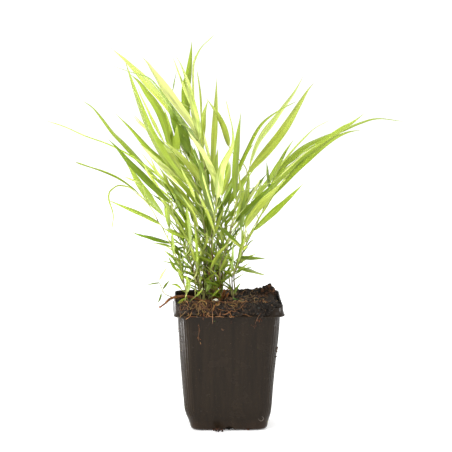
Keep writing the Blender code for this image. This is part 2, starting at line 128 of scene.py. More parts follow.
def spline(ctrl, n):
    """n points at equal steps along a smooth curve through the control points."""
    c = np.array(ctrl, float)
    if len(c) == 2:
        fine = c[0] + (c[1] - c[0]) * np.linspace(0, 1, 60)[:, None]
    else:
        ext = np.vstack([2 * c[0] - c[1], c, 2 * c[-1] - c[-2]])
        out = []
        for k in range(1, len(ext) - 2):
            p0, p1, p2, p3 = ext[k - 1:k + 3]
            for t in np.linspace(0, 1, 16, endpoint=False):
                out.append(0.5 * ((2 * p1) + (-p0 + p2) * t + (2 * p0 - 5 * p1 + 4 * p2 - p3) * t * t
                                  + (-p0 + 3 * p1 - 3 * p2 + p3) * t ** 3))
        out.append(ext[-2])
        fine = np.array(out)
    seg = np.linalg.norm(np.diff(fine, axis=0), axis=1)
    s = np.concatenate([[0], np.cumsum(seg)])
    q = np.linspace(0, s[-1], n)
    return np.stack([np.interp(q, s, fine[:, i]) for i in range(3)], 1)


def tangents(p):
    t = np.gradient(p, axis=0)
    return t / np.linalg.norm(t, axis=1)[:, None]


def tube(path, radii, sides):
    """Closed tube with tapered ends, without twist."""
    p = np.array(path)
    t = tangents(p)
    ref = np.array([0.0, 1.0, 0.0]) if abs(t[0][1]) < 0.8 else np.array([1.0, 0.0, 0.0])
    loops = []
    a = np.cross(t[0], ref)
    for k in range(len(p)):
        a = a - t[k] * np.dot(a, t[k])
        a /= np.linalg.norm(a)
        b = np.cross(t[k], a)
        loops.append([p[k] + radii[k] * (math.cos(w) * a + math.sin(w) * b)
                      for w in (2 * math.pi * i / sides for i in range(sides))])
    return loft(loops)


def blade_profile(s, peak):
    """Half-width factor along a blade: narrow foot, full belly, long drawn tip."""
    if s < peak:
        return 0.16 + 0.84 * math.sin(math.pi / 2 * s / peak) ** 0.9
    t = (s - peak) / (1 - peak)
    return max(0.03, (1 - t) * (1 + 0.8 * t))



CROWN = (-12.0, 16.0)       # centre of the crown
CROWN_R = (13.0, 10.0)
CROWN_H = 5.5


def soil_z(x, y):
    """Height of the peat's top face."""
    z = 99.2
    z += 3.6 * math.exp(-((x - 18) ** 2 / 700.0 + (y - 4) ** 2 / 900.0))
    z += 5.2 * math.exp(-((x - 35.0) ** 2 + (y - 28) ** 2) / 34.0)
    z += 2.6 * math.exp(-((y + 37) ** 2) / 60.0)
    z -= 3.6 * math.exp(-((x + 31) ** 2 / 330.0 + (y - 24) ** 2 / 420.0))
    z += 0.5 * math.sin(0.3 * x + 1.3) * math.cos(0.27 * y - 0.4)
    edge = max(abs(x), abs(y))
    if edge > 38:
        z -= (edge - 38) * 0.25
    return max(z, 97.8)


def crown_z(x, y):
    q = ((x - CROWN[0]) / CROWN_R[0]) ** 2 + ((y - CROWN[1]) / CROWN_R[1]) ** 2
    return soil_z(CROWN[0], CROWN[1]) + 0.9 + CROWN_H * math.sqrt(max(0.0, 1 - q)) if q < 1 else -1.0


def top_z(x, y):
    return max(soil_z(x, y), crown_z(x, y))



# --------------------------------------------------------------------- culms
# name: (radius, foot x, foot y, top depth, sketch points from low to high, dark)
CULMS = {
    "culm_01": (0.54, -33.0, 0.0, -34, [(181, 268), (178, 260), (174, 252), (170, 243), (166, 235), (162, 227), (158, 221), (155, 215), (151, 208), (146, 201), (140, 195)], 0),
    "culm_02": (0.58, -22.5, 13.0, 26, [(192, 266), (188, 258), (184, 250), (180, 241), (176, 233), (172, 225), (168, 218), (164.5, 216.5)], 0),
    "culm_03": (0.58, -20.0, 11.0, -22, [(194, 272), (190, 262), (187, 250), (183, 240), (179, 230), (175, 220), (171.5, 205)], 0),
    "culm_04": (0.61, -17.0, 17.0, 34, [(204, 260), (200, 240), (197, 222), (194, 207), (192.5, 194)], 0),
    "culm_05": (0.68, -15.0, 10.0, -10, [(207, 260), (205, 235), (202, 212), (198, 192), (193, 174), (187, 158), (181, 146)], 1),
    "culm_06": (0.68, -13.0, 21.0, 48, [(210, 262), (209, 235), (206, 205), (203, 175), (199, 150), (196, 128), (195, 110)], 0),
    "culm_07": (0.72, -12.0, 15.0, 12, [(212, 262), (211, 235), (209, 205), (206, 175), (202, 155), (199.5, 141)], 0),
    "culm_08": (0.58, -11.0, 9.5, -26, [(212, 258), (212.5, 242), (214, 230), (215, 214), (217.3, 199)], 0),
    "culm_09": (0.61, -8.0, 19.0, 40, [(216, 262), (217, 240), (217, 215), (215, 195), (213.2, 180)], 0),
    "culm_10": (0.65, -6.0, 12.0, 5, [(219, 264), (221, 245), (222, 225), (222.5, 212), (223, 203)], 1),
    "culm_11": (0.65, -4.0, 22.0, 30, [(222, 262), (225, 250), (228, 240), (230, 232), (232, 225), (234, 217), (236, 208), (239, 197), (243, 186), (247.5, 174)], 1),
    "culm_12": (0.54, -5.5, 5.5, -30, [(220, 268), (226, 250), (231, 232), (234.5, 214), (236, 201)], 1),
    "culm_13": (0.65, 4.5, 9.0, -34, [(232, 278), (235, 270), (238, 262), (241, 254), (243, 247), (246, 240), (251, 231.5)], 1),
    "culm_14": (0.65, 7.0, 17.0, 8, [(234, 276), (238, 266), (242, 255), (246, 245), (250, 237), (255, 228), (259, 219), (263, 210), (267, 201), (270, 198)], 1),
    "culm_15": (0.61, 4.0, 23.0, 62, [(229, 275), (231, 262), (233, 250), (235, 240), (238, 228), (241, 214), (244, 198), (247, 182), (250, 167)], 0),
}

# -------------------------------------------------------------------- blades
# name: (seen width, true width, side of roll, depth at foot, depth at tip,
#        belly position, twist, tone, sketch points foot to tip), widths in mm
BLADES = {
    "blade_01": (6.8, 8.6, 1, 60, 72, .34, 20, "light", [(193, 140), (185, 127), (176, 118), (168, 107), (155, 92), (147, 83), (139, 74), (132, 67), (125, 60), (118, 54), (111, 48)]),
    "blade_02": (7.4, 9.0, -1, 15, 32, .34, -20, "pale", [(198, 139), (194, 127), (189, 119), (183, 111), (177, 103), (171, 95), (165, 87), (159, 78), (153, 70), (148, 63), (142, 57)]),
    "blade_03": (4.4, 8.2, 1, 18, 36, .32, 30, "grey", [(211, 176), (209, 168), (203, 153), (195, 140), (188, 131), (178, 117), (168, 103), (158, 88), (150, 79), (143, 76), (130, 72), (113, 66)]),
    "blade_04": (6.4, 7.8, -1, -6, 6, .34, 15, "dark", [(175, 153), (169, 142), (167, 133), (164, 122), (160, 112), (154, 102), (147, 93), (139, 82), (130, 74)]),
    "blade_05": (7.6, 8.8, 1, -16, -48, .36, -15, "light", [(185, 183), (175, 170), (165, 157), (155, 140), (149, 128), (141, 108), (135, 91), (130, 76), (125, 60)]),
    "blade_06": (4.0, 6.8, 1, -10, -28, .3, 20, "lime", [(180.5, 167), (172, 156), (158, 143), (147, 130), (138, 122), (131, 112)]),
    "blade_07": (5.6, 8.0, -1, 48, 64, .33, 20, "mid", [(190, 185), (175, 172), (156, 156), (146, 146), (131, 129), (121, 119), (116, 114)]),
    "blade_08": (5.0, 7.6, 1, 36, 18, .34, -15, "pale", [(191, 192.5), (180, 184), (168, 172), (156, 160), (144, 148), (138, 142)]),
    "blade_09": (3.6, 6.4, -1, 22, 80, .35, 20, "mid", [(169, 191), (150, 172), (138, 159), (123, 143), (113, 133), (103, 120), (93, 108), (83, 101)]),
    "blade_10": (1.9, 6.6, 1, 28, 8, .3, 15, "lime", [(183, 195), (172, 187), (160, 177), (148, 168), (134, 158), (120, 150), (105, 143), (85, 136), (65, 127), (47, 121)]),
    "blade_11": (6.4, 7.8, -1, -24, -58, .36, 20, "dark", [(170.5, 203), (164, 197), (152, 185), (140, 173), (128, 161), (118, 149), (108, 139)]),
    "blade_12": (7.8, 8.8, 1, 28, 48, .36, -20, "light", [(163.5, 215.5), (153, 204), (148, 197), (139, 184), (131, 170), (126, 163)]),
    "blade_13": (2.0, 5.6, -1, -35, -74, .35, 20, "mid", [(139.3, 194.5), (134, 189), (120, 179), (105, 172), (90, 167), (75, 162)]),
    "blade_14": (4.2, 6.4, 1, -21, -26, .33, 15, "mid", [(160.5, 225), (156, 222), (142, 215), (126, 208), (110, 201), (103, 197.5)]),
    "blade_15": (1.4, 3.2, 1, -28, -84, .4, 0, "light", [(136, 193), (130, 188), (125, 186.5), (118, 186), (113, 189), (110, 192), (109, 197), (110, 203), (112, 209), (113.5, 216), (113, 222), (111.5, 231)]),
    "blade_16": (3.2, 5.4, -1, -6, -38, .35, 10, "dark", [(174, 242.5), (168, 242), (152, 238), (138, 234.5), (131, 231.5)]),
    "blade_17": (2.6, 8.0, -1, 50, 84, .3, 20, "light", [(194.5, 108), (193.5, 88), (193.5, 68), (195, 60), (201, 48), (209, 40), (214, 35)]),
    "blade_18": (7.2, 8.4, 1, 44, 76, .32, -20, "mid", [(191, 126), (186, 112), (185.5, 90), (188.5, 72), (190.5, 56), (192, 41)]),
    "blade_19": (5.8, 8.0, 1, 9, -34, .3, 20, "lime", [(199.2, 140), (198, 132), (194, 112), (190, 93), (186, 78), (181, 65), (176, 56)]),
    "blade_20": (3.4, 7.4, -1, 34, 92, .34, -20, "light", [(202.5, 149), (203, 132), (204.5, 116), (206, 108), (208.5, 99)]),
    "blade_21": (5.2, 7.6, 1, 30, 70, .3, 20, "light", [(229, 146), (224, 129), (218, 116), (211, 105), (206, 98)]),
    "blade_22": (6.6, 8.0, -1, 41, 88, .38, 10, "light", [(213, 179), (213, 168), (214, 148), (215, 128), (216, 108), (216.5, 88), (217, 77)]),
    "blade_23": (7.4, 8.6, 1, -27, -70, .16, -10, "lime", [(217.5, 198), (218.5, 188), (220, 175), (223, 165), (227, 157), (232.5, 146), (233, 136), (232, 126), (230, 118), (226, 100)]),
    "blade_24": (6.6, 8.4, -1, -14, -48, .3, 15, "grey", [(214, 218), (212, 210), (209, 200), (204, 182), (201, 170), (197, 157)]),
    "blade_25": (5.0, 7.6, 1, -18, -82, .34, 15, "pale", [(216, 190), (214, 178), (210, 168), (205, 157), (199, 147), (192, 137), (186, 128)]),
    "blade_26": (5.4, 7.8, -1, -32, -88, .34, 10, "mid", [(236, 199.5), (235.5, 176), (236.5, 156), (238, 136), (240, 120), (241, 112)]),
    "blade_27": (7.6, 9.0, 1, 31, 12, .35, -15, "light", [(248, 172.5), (256, 163), (269, 148), (281, 133), (291, 118), (300, 103), (308, 90), (314, 83)]),
    "blade_28": (4.4, 7.6, -1, 63, 84, .33, 20, "lime", [(250, 165.5), (257, 146), (264, 134), (274, 121), (284, 107), (294, 93), (303, 77)]),
    "blade_29": (3.3, 4.6, 1, 6, -34, .35, 6, "mid", [(223.3, 202), (229, 186), (238, 169), (247, 150), (256, 132), (265, 120.5), (279, 110.5), (297, 101)]),
    "blade_30": (2.6, 6.4, 1, 52, 78, .3, 15, "lime", [(262, 186), (270, 177), (281, 165), (291, 152), (303, 139), (315, 128), (330, 120)]),
    "blade_31": (4.4, 6.8, -1, 40, 22, .35, 10, "mid", [(255, 199), (262, 190), (269, 181), (279, 164), (286, 151), (294, 139)]),
    "blade_32": (4.0, 6.8, 1, 20, 52, .28, 12, "dark", [(268.5, 190), (280, 170), (300, 149.5), (322, 138), (343, 130), (360, 123), (378, 118.5), (404, 121.5)]),
    "blade_33": (7.8, 9.0, -1, 12, -6, .36, -15, "light", [(267, 197), (279, 179), (300, 162), (323, 144), (342, 129), (352, 123), (365, 113)]),
    "blade_34": (5.6, 8.0, 1, 2, -42, .35, 15, "light", [(272, 196.5), (281, 186), (305, 161), (330, 141), (347, 132.5), (362, 130)]),
    "blade_35": (5.6, 8.0, -1, -8, -60, .35, 15, "dark", [(235, 222.5), (241, 218), (255, 204), (268, 190), (277, 181)]),
    "blade_36": (5.4, 7.6, 1, -35, -86, .35, 10, "mid", [(254, 230), (265, 219), (282, 204), (298, 189), (304, 183)]),
    "blade_37": (4.2, 6.6, -1, -28, -72, .34, 10, "pale", [(246.5, 227), (250, 220), (260, 206), (271, 194), (286, 179)]),
    "blade_38": (2.8, 5.0, 1, -10, -34, .3, 10, "light", [(197, 271), (196.8, 260), (196, 240), (195, 225)]),
    "blade_39": (3.4, 5.6, 1, 14, -20, .3, 10, "mid", [(235, 265.5), (247, 269.5), (261, 274), (268, 276)]),
}


def culm_path(spec):
    r, fx, fy, yt, pts, _ = spec
    foot = np.array([fx, fy, top_z(fx, fy) + 1.0])
    vs = [p[1] for p in pts]
    v0 = 296.0
    path = [foot, foot + np.array([0.0, 0.0, 1.5])]
    for (u, v) in pts:
        s = (v0 - v) / (v0 - vs[-1])
        path.append(at(u, v, fy + (yt - fy) * s))
    return path


def blade_path(spec):
    yb, yt, pts = spec[3], spec[4], spec[8]
    d = [0.0]
    for (a, b), (c, e) in zip(pts, pts[1:]):
        d.append(d[-1] + math.hypot(c - a, e - b))
    return [at(u, v, yb + (yt - yb) * (q / d[-1]) ** 1.25) for (u, v), q in zip(pts, d)]



POT_A = (0.0104, 0.0060, 0.0025)
POT_B = (0.0141, 0.0084, 0.0038)
POT_STAIN = (0.027, 0.017, 0.010)

# ============================================================ mesh collecting
class Bag:
    """Collects faces, UVs and colours of many small shapes into one object."""

    def __init__(self):
        self.v, self.f, self.uv, self.c, self.n = [], [], [], [], 0

    def put(self, verts, faces, uvs=None, col=None):
        verts = np.asarray(verts, float)
        base = self.n
        self.v.append(verts)
        self.n += len(verts)
        self.f += [tuple(i + base for i in q) for q in faces]
        if uvs is not None:
            self.uv.append(np.asarray(uvs, float))
        if col is not None:
            c = np.asarray(col, float)
            if c.ndim == 1:
                c = np.tile(c, (len(verts), 1))
            self.c.append(c)

    def build(self, name, mat, smooth=True, sharp=None):
        me = bpy.data.meshes.new(name)
        v = np.vstack(self.v) * MM
        me.from_pydata(v.tolist(), [], self.f)
        me.update()
        if self.uv:
            uv = np.vstack(self.uv)
            lay = me.uv_layers.new(name="blade")
            idx = np.empty(len(me.loops), dtype=np.int32)
            me.loops.foreach_get("vertex_index", idx)
            lay.data.foreach_set("uv", uv[idx].astype(np.float32).ravel())
        if self.c:
            c = np.vstack(self.c)
            at_ = me.color_attributes.new("tint", "FLOAT_COLOR", "POINT")
            rgba = np.concatenate([c, np.ones((len(c), 1))], 1).astype(np.float32)
            at_.data.foreach_set("color", rgba.ravel())
        if smooth:
            me.shade_smooth()
            if sharp:
                me.set_sharp_from_angle(angle=math.radians(sharp))
        me.materials.append(mat)
        ob = bpy.data.objects.new(name, me)
        ob.cycles.shadow_terminator_geometry_offset = 0.0
        ob.cycles.shadow_terminator_offset = 0.0
        bpy.context.scene.collection.objects.link(ob)
        return ob


def ring_faces(n, m):
    """Faces of m stacked closed rings of n points, capped at both ends."""
    f = []
    for k in range(m - 1):
        for i in range(n):
            j = (i + 1) % n
            f.append((k * n + i, k * n + j, (k + 1) * n + j, (k + 1) * n + i))
    f.append(tuple(range(n - 1, -1, -1)))
    f.append(tuple(range((m - 1) * n, m * n)))
    return f


def frame_along(p, ref=None):
    """Unit tangents and a twist-free pair of normals along a path."""
    t = tangents(p)
    if ref is None:
        ref = np.array([0.0, 1.0, 0.0]) if abs(t[0][1]) < 0.8 else np.array([1.0, 0.0, 0.0])
    a = np.cross(t[0], ref)
    A, B = [], []
    for k in range(len(p)):
        a = a - t[k] * np.dot(a, t[k])
        a /= np.linalg.norm(a)
        A.append(a.copy())
        B.append(np.cross(t[k], a))
    return t, np.array(A), np.array(B)


def put_tube(bag, path, radii, sides, col, uv_v=0.0):
    """Round stem along a path; col is one colour or one per station."""
    p = np.array(path, float)
    _, A, B = frame_along(p)
    w = np.arange(sides) * 2 * math.pi / sides
    r = np.asarray(radii, float)
    ring = (np.cos(w)[None, :, None] * A[:, None, :] + np.sin(w)[None, :, None] * B[:, None, :])
    verts = p[:, None, :] + ring * r[:, None, None]
    col = np.asarray(col, float)
    if col.ndim == 1:
        c = np.tile(col, (len(p) * sides, 1))
    else:
        c = np.repeat(col, sides, axis=0)
    n = len(p)
    faces = ring_faces(sides, n)
    # outward winding
    faces = [q[::-1] for q in faces]
    bag.put(verts.reshape(-1, 3), faces, None, c)


leaf_id = [0]


def fine_profile(s, peak, lo=0.12, pw=1.2):
    """As the solid's profile, with a longer drawn tip."""
    if s < peak:
        return 0.18 + 0.82 * math.sin(math.pi / 2 * s / peak) ** 0.58
    t = (s - peak) / (1 - peak)
    return max(0.02, lo * min(1.0, (1 - s) / 0.07) ** 0.6, (1 - t) ** pw * (1 + 0.95 * t))


def put_blade(bag, path, width, true_width, side, peak, twist, stations=None, across=6, wav=0.02,
              thick=0.26, keel=0.16, seed=0, roll_extra=0.0, curl=0.0, lo=0.12, pw=1.2):
    """Fine grass blade as a closed thin sheet: keeled, slightly wavy, drawn to a fine tip."""
    ctrl = np.array(path, float)
    length = float(np.linalg.norm(np.diff(ctrl, axis=0), axis=1).sum())
    n = stations or int(min(44, max(14, length / 2.4)))
    p = spline(ctrl, n)
    t = tangents(p)
    roll0 = math.acos(min(1.0, width / true_width)) * side + roll_extra
    rs = random.Random(seed * 7919 + 13)
    ph1, ph2, ph3 = (rs.uniform(0, 6.28) for _ in range(3))
    top, bot = [], []
    half = across / 2.0
    uvs = []
    lid = leaf_id[0]
    leaf_id[0] += 1
    verts = []
    m = 2 * across
    for k in range(n):
        s = k / (n - 1)
        sight = p[k] - EYE
        sight /= np.linalg.norm(sight)
        w = np.cross(t[k], sight)
        w /= np.linalg.norm(w)
        nrm = np.cross(w, t[k])
        roll = roll0 + math.radians(twist) * (s - 0.3)
        wd = w * math.cos(roll) + nrm * math.sin(roll)
        nd = np.cross(wd, t[k])
        f = fine_profile(s, peak, lo, pw)
        h = 0.5 * true_width * f * (1 + wav * math.sin(9 * s + ph1))
        th = thick * (0.35 + 0.65 * (1 - s) ** 0.7) * 0.5
        kl = keel * h * (1 - 0.4 * s)
        wave = 0.05 * h * math.sin(13 * s + ph2)
        row_t, row_b = [], []
        for i in range(across + 1):
            x = (i - half) / half
            z = kl * (abs(x) ** 1.25) + wave * x + 0.03 * h * math.sin(21 * s + ph3 + 2 * x) + curl * h * x * x * s
            e = th * (1 - 0.75 * x * x) + (0.10 * th if i == half else 0)
            c = p[k] + wd * (h * x) + nd * z
            if i in (0, across):
                e = 0.0
            row_t.append(c + nd * e)
            row_b.append(c - nd * e)
        ring = row_t + row_b[-2:0:-1]
        verts += ring
        us = [(i / across) for i in range(across + 1)]
        us = us + us[-2:0:-1]
        uvs += [(u, s + 2 * lid) for u in us]
    faces = []
    A = across

    def T(k, i):
        return k * m + i

    def B(k, i):
        return k * m + ((2 * A - i) % m if 0 < i < A else i)

    for k in range(n - 1):
        for i in range(A):
            faces.append((T(k, i), T(k + 1, i + 1), T(k, i + 1)))
            faces.append((T(k, i), T(k + 1, i), T(k + 1, i + 1)))
            faces.append((B(k, i), B(k, i + 1), B(k + 1, i + 1)))
            faces.append((B(k, i), B(k + 1, i + 1), B(k + 1, i)))
    for k in (0, n - 1):
        ring = list(range(k * m, k * m + m))
        faces.append(tuple(ring) if k == 0 else tuple(ring[::-1]))
    bag.put(verts, faces, uvs)


# ================================================================ materials
def new_mat(name):
    m = bpy.data.materials.new(name)
    m.use_nodes = True
    nt = m.node_tree
    nt.nodes.clear()
    out = nt.nodes.new("ShaderNodeOutputMaterial")
    return m, nt, out


def nd_(nt, kind, **kw):
    n = nt.nodes.new(kind)
    for k, v in kw.items():
        setattr(n, k, v)
    return n


def math_(nt, op, a, b=None, c=None, clamp=False):
    n = nd_(nt, "ShaderNodeMath", operation=op)
    n.use_clamp = clamp
    for i, x in enumerate((a, b, c)):
        if x is None:
            continue
        if isinstance(x, (int, float)):
            n.inputs[i].default_value = x
        else:
            nt.links.new(x, n.inputs[i])
    return n.outputs[0]


def ramp_(nt, fac, stops, interp="LINEAR"):
    n = nd_(nt, "ShaderNodeValToRGB")
    n.color_ramp.interpolation = interp
    el = n.color_ramp.elements
    while len(el) < len(stops):
        el.new(0.5)
    for e, (pos, col) in zip(el, stops):
        e.position = pos
        e.color = (*col, 1.0) if len(col) == 3 else col
    nt.links.new(fac, n.inputs[0])
    return n.outputs[0]


def mixc_(nt, fac, a, b, blend="MIX"):
    n = nd_(nt, "ShaderNodeMix", data_type="RGBA", blend_type=blend)
    n.clamp_factor = True
    for sock, x in ((n.inputs[0], fac), (n.inputs[6], a), (n.inputs[7], b)):
        if isinstance(x, (int, float)):
            sock.default_value = x
        elif isinstance(x, tuple):
            sock.default_value = (*x, 1.0) if len(x) == 3 else x
        else:
            nt.links.new(x, sock)
    return n.outputs[2]


def noise_(nt, vec, scale, detail=3.0, rough=0.55, dims="3D"):
    n = nd_(nt, "ShaderNodeTexNoise", noise_dimensions=dims)
    n.inputs["Scale"].default_value = scale
    n.inputs["Detail"].default_value = detail
    n.inputs["Roughness"].default_value = rough
    if vec is not None:
        nt.links.new(vec, n.inputs["Vector"])
    return n.outputs["Fac"]


def s2l(r, g, b):
    """Screen colour (0-255) to linear."""
    return tuple(((c / 255 + 0.055) / 1.055) ** 2.4 if c > 10 else c / 255 / 12.92 for c in (r, g, b))


def leaf_material(name, foot, belly, tip, trans=0.42, rough=0.42):
    """Translucent blade: colour along the blade, pale midrib, fine parallel veins, dry tip."""
    m, nt, out = new_mat(name)
    uv = nd_(nt, "ShaderNodeUVMap", uv_map="blade")
    sep = nd_(nt, "ShaderNodeSeparateXYZ")
    nt.links.new(uv.outputs[0], sep.inputs[0])
    u, v = sep.outputs[0], sep.outputs[1]
    s = math_(nt, "MODULO", v, 2.0)
    lid = math_(nt, "FLOOR", math_(nt, "DIVIDE", v, 2.0))
    wn = nd_(nt, "ShaderNodeTexWhiteNoise", noise_dimensions="1D")
    nt.links.new(lid, wn.inputs["W"])
    rnd = wn.outputs["Value"]
    base = ramp_(nt, s, [(0.0, foot), (0.16, tuple(0.5 * a + 0.5 * b for a, b in zip(foot, belly))),
                         (0.42, belly), (0.9, tip), (1.0, tip)])
    # broad streaks that run along the blade
    comb = nd_(nt, "ShaderNodeCombineXYZ")
    nt.links.new(math_(nt, "MULTIPLY", u, 5.0), comb.inputs[0])
    nt.links.new(math_(nt, "MULTIPLY", v, 1.6), comb.inputs[1])
    streak = noise_(nt, comb.outputs[0], 2.2, 4.0, 0.6)
    streak = math_(nt, "MULTIPLY_ADD", streak, 1.6, 0.19)
    # parallel veins
    comb2 = nd_(nt, "ShaderNodeCombineXYZ")
    nt.links.new(math_(nt, "MULTIPLY", u, 26.0), comb2.inputs[0])
    nt.links.new(math_(nt, "MULTIPLY", v, 0.7), comb2.inputs[1])
    vein = noise_(nt, comb2.outputs[0], 1.0, 1.0, 0.4)
    veinf = math_(nt, "MULTIPLY_ADD", vein, 0.36, 0.82)
    mott = noise_(nt, comb.outputs[0], 9.0, 2.0, 0.5)
    mott = math_(nt, "MULTIPLY_ADD", mott, 0.24, 0.88)
    lum = math_(nt, "MULTIPLY", math_(nt, "MULTIPLY", streak, veinf), mott)
    per = math_(nt, "MULTIPLY_ADD", rnd, 0.24, 0.88)
    lum = math_(nt, "MULTIPLY", lum, per)
    # the two halves of a keeled blade catch the light differently
    hs = math_(nt, "MULTIPLY", math_(nt, "SUBTRACT", u, 0.5), 9.0)
    hs = math_(nt, "MINIMUM", math_(nt, "MAXIMUM", hs, -1.0), 1.0)
    hs = math_(nt, "MULTIPLY", hs, math_(nt, "SUBTRACT", rnd, 0.5))
    lum = math_(nt, "MULTIPLY", lum, math_(nt, "MULTIPLY_ADD", hs, 0.42, 1.0))
    mul = nd_(nt, "ShaderNodeCombineColor")
    for i in range(3):
        nt.links.new(lum, mul.inputs[i])
    col = mixc_(nt, 1.0, base, mul.outputs[0], "MULTIPLY")
    # yellower and greener halves
    col = mixc_(nt, math_(nt, "MULTIPLY", math_(nt, "SUBTRACT", streak, 0.8, clamp=True), 0.8), col,
                tuple(min(1.0, c * k) for c, k in zip(belly, (1.25, 1.08, 0.9))))
    mid = math_(nt, "SUBTRACT", 1.0, math_(nt, "MULTIPLY", math_(nt, "ABSOLUTE", math_(nt, "SUBTRACT", u, 0.5)), 17.0), clamp=True)
    mid = math_(nt, "MULTIPLY", mid, math_(nt, "SUBTRACT", 0.75, math_(nt, "MULTIPLY", s, 0.7), clamp=True))
    col = mixc_(nt, math_(nt, "MULTIPLY", mid, 0.55), col, tuple(min(1.0, 1.2 * c + 0.06) for c in belly))
    dry = math_(nt, "MULTIPLY", math_(nt, "SUBTRACT", s, math_(nt, "MULTIPLY_ADD", rnd, 0.05, 0.945), clamp=True), 22.0, clamp=True)
    col = mixc_(nt, math_(nt, "MULTIPLY", dry, 0.7), col, s2l(176, 148, 82))
    bump = nd_(nt, "ShaderNodeBump")
    bump.inputs["Strength"].default_value = 0.35
    bump.inputs["Distance"].default_value = 0.00012
    nt.links.new(math_(nt, "ADD", vein, math_(nt, "MULTIPLY", mid, 0.6)), bump.inputs["Height"])
    pr = nd_(nt, "ShaderNodeBsdfPrincipled")
    nt.links.new(col, pr.inputs["Base Color"])
    pr.inputs["Roughness"].default_value = rough
    pr.inputs["Specular IOR Level"].default_value = 0.36
    nt.links.new(bump.outputs[0], pr.inputs["Normal"])
    tr = nd_(nt, "ShaderNodeBsdfTranslucent")
    tcol = mixc_(nt, 1.0, col, (0.93, 0.94, 0.62), "MULTIPLY")
    nt.links.new(tcol, tr.inputs["Color"])
    mx = nd_(nt, "ShaderNodeMixShader")
    mx.inputs[0].default_value = trans
    nt.links.new(pr.outputs[0], mx.inputs[1])
    nt.links.new(tr.outputs[0], mx.inputs[2])
    nt.links.new(mx.outputs[0], out.inputs[0])
    m.diffuse_color = (*belly, 1.0)
    return m


def tint_material(name, rough, bump_scale, bump_dist, vary=0.5, spec=0.3, default=(0.1, 0.07, 0.04)):
    """Surface that takes its colour from the piece's tint, with fine grain."""
    m, nt, out = new_mat(name)
    att = nd_(nt, "ShaderNodeAttribute", attribute_name="tint", attribute_type="GEOMETRY")
    tc = nd_(nt, "ShaderNodeTexCoord")
    n1 = noise_(nt, tc.outputs["Object"], bump_scale, 4.0, 0.6)
    n2 = noise_(nt, tc.outputs["Object"], bump_scale * 0.23, 3.0, 0.5)
    f = math_(nt, "MULTIPLY_ADD", n1, vary, 1 - vary * 0.5)
    f = math_(nt, "MULTIPLY", f, math_(nt, "MULTIPLY_ADD", n2, vary, 1 - vary * 0.5))
    mul = nd_(nt, "ShaderNodeCombineColor")
    for i in range(3):
        nt.links.new(f, mul.inputs[i])
    col = mixc_(nt, 1.0, att.outputs["Color"], mul.outputs[0], "MULTIPLY")
    bump = nd_(nt, "ShaderNodeBump")
    bump.inputs["Strength"].default_value = 0.6
    bump.inputs["Distance"].default_value = bump_dist
    nt.links.new(n1, bump.inputs["Height"])
    pr = nd_(nt, "ShaderNodeBsdfPrincipled")
    nt.links.new(col, pr.inputs["Base Color"])
    pr.inputs["Roughness"].default_value = rough
    pr.inputs["Specular IOR Level"].default_value = spec
    nt.links.new(bump.outputs[0], pr.inputs["Normal"])
    nt.links.new(pr.outputs[0], out.inputs[0])
    m.diffuse_color = (*default, 1.0)
    return m


TONES = {
    "lime": leaf_material("leaf_lime_fine", s2l(207, 221, 142), s2l(208, 223, 124), s2l(214, 228, 150)),
    "pale": leaf_material("leaf_pale_fine", s2l(203, 217, 129), s2l(217, 226, 149), s2l(224, 231, 170)),
    # painted light: this tone is a brighter leaf colour that stands in for light its blade does not catch as it faces
    # away
    "cream": leaf_material("leaf_painted_light_fine", s2l(222, 234, 150), s2l(236, 243, 164), s2l(242, 248, 184)),
    "light": leaf_material("leaf_light_fine", s2l(187, 201, 101), s2l(185, 200, 81), s2l(206, 219, 126)),
    "fresh": leaf_material("leaf_fresh_fine", s2l(195, 209, 114), s2l(195, 209, 98), s2l(210, 223, 135)),
    "moss": leaf_material("leaf_moss_fine", s2l(145, 165, 62), s2l(143, 165, 44), s2l(173, 193, 72)),
    "mid": leaf_material("leaf_mid_fine", s2l(164, 183, 74), s2l(162, 184, 56), s2l(192, 210, 92)),
    "dark": leaf_material("leaf_dark_fine", s2l(126, 147, 52), s2l(121, 148, 34), s2l(153, 180, 58)),
    "grey": leaf_material("leaf_grey_fine", s2l(154, 177, 100), s2l(152, 175, 80), s2l(175, 198, 100)),
}
M_CULM = tint_material("culm_fine", 0.42, 900.0, 0.00005, 0.35, 0.4, (0.17, 0.2, 0.05))
M_ROOTS = tint_material("root_fine", 0.75, 1400.0, 0.00008, 0.7, 0.25, (0.19, 0.07, 0.025))
M_CRUMB = tint_material("crumb_fine", 0.9, 1500.0, 0.0002, 0.9, 0.2, (0.022, 0.014, 0.009))
M_HUSK = tint_material("husk_fine", 0.7, 1100.0, 0.00006, 0.6, 0.25, (0.16, 0.09, 0.035))

M_PEATBODY = tint_material("peat_body", 0.95, 900.0, 0.0003, 0.8, 0.1, (0.022, 0.014, 0.009))
for _n in M_PEATBODY.node_tree.nodes:
    if _n.type == "MIX":
        for _l in list(_n.inputs[6].links):
            M_PEATBODY.node_tree.links.remove(_l)
        _n.inputs[6].default_value = (0.022, 0.014, 0.009, 1.0)

# ============================================================ camera and light
cam_data = bpy.data.cameras.new("camera")
cam_data.sensor_width = 36.0
cam_data.sensor_fit = "HORIZONTAL"
cam_data.lens = SK_SCALE * 36.0 / 452.0
cam_data.clip_start = 0.05
cam_data.clip_end = 60.0
cam = bpy.data.objects.new("camera", cam_data)
bpy.context.scene.collection.objects.link(cam)
rot = Matrix((RIGHT, UP, -FWD)).transposed()
cam.matrix_world = Matrix.Translation(Vector(EYE * MM)) @ rot.to_4x4()
bpy.context.scene.camera = cam

scene = bpy.context.scene
scene.view_settings.view_transform = "Standard"
scene.view_settings.look = "None"
scene.view_settings.exposure = 0.0
scene.view_settings.gamma = 1.0

world = bpy.data.worlds.new("studio")
scene.world = world
world.use_nodes = True
bg = world.node_tree.nodes["Background"]
bg.inputs["Color"].default_value = (1.0, 1.0, 1.0, 1.0)
bg.inputs["Strength"].default_value = 1.03


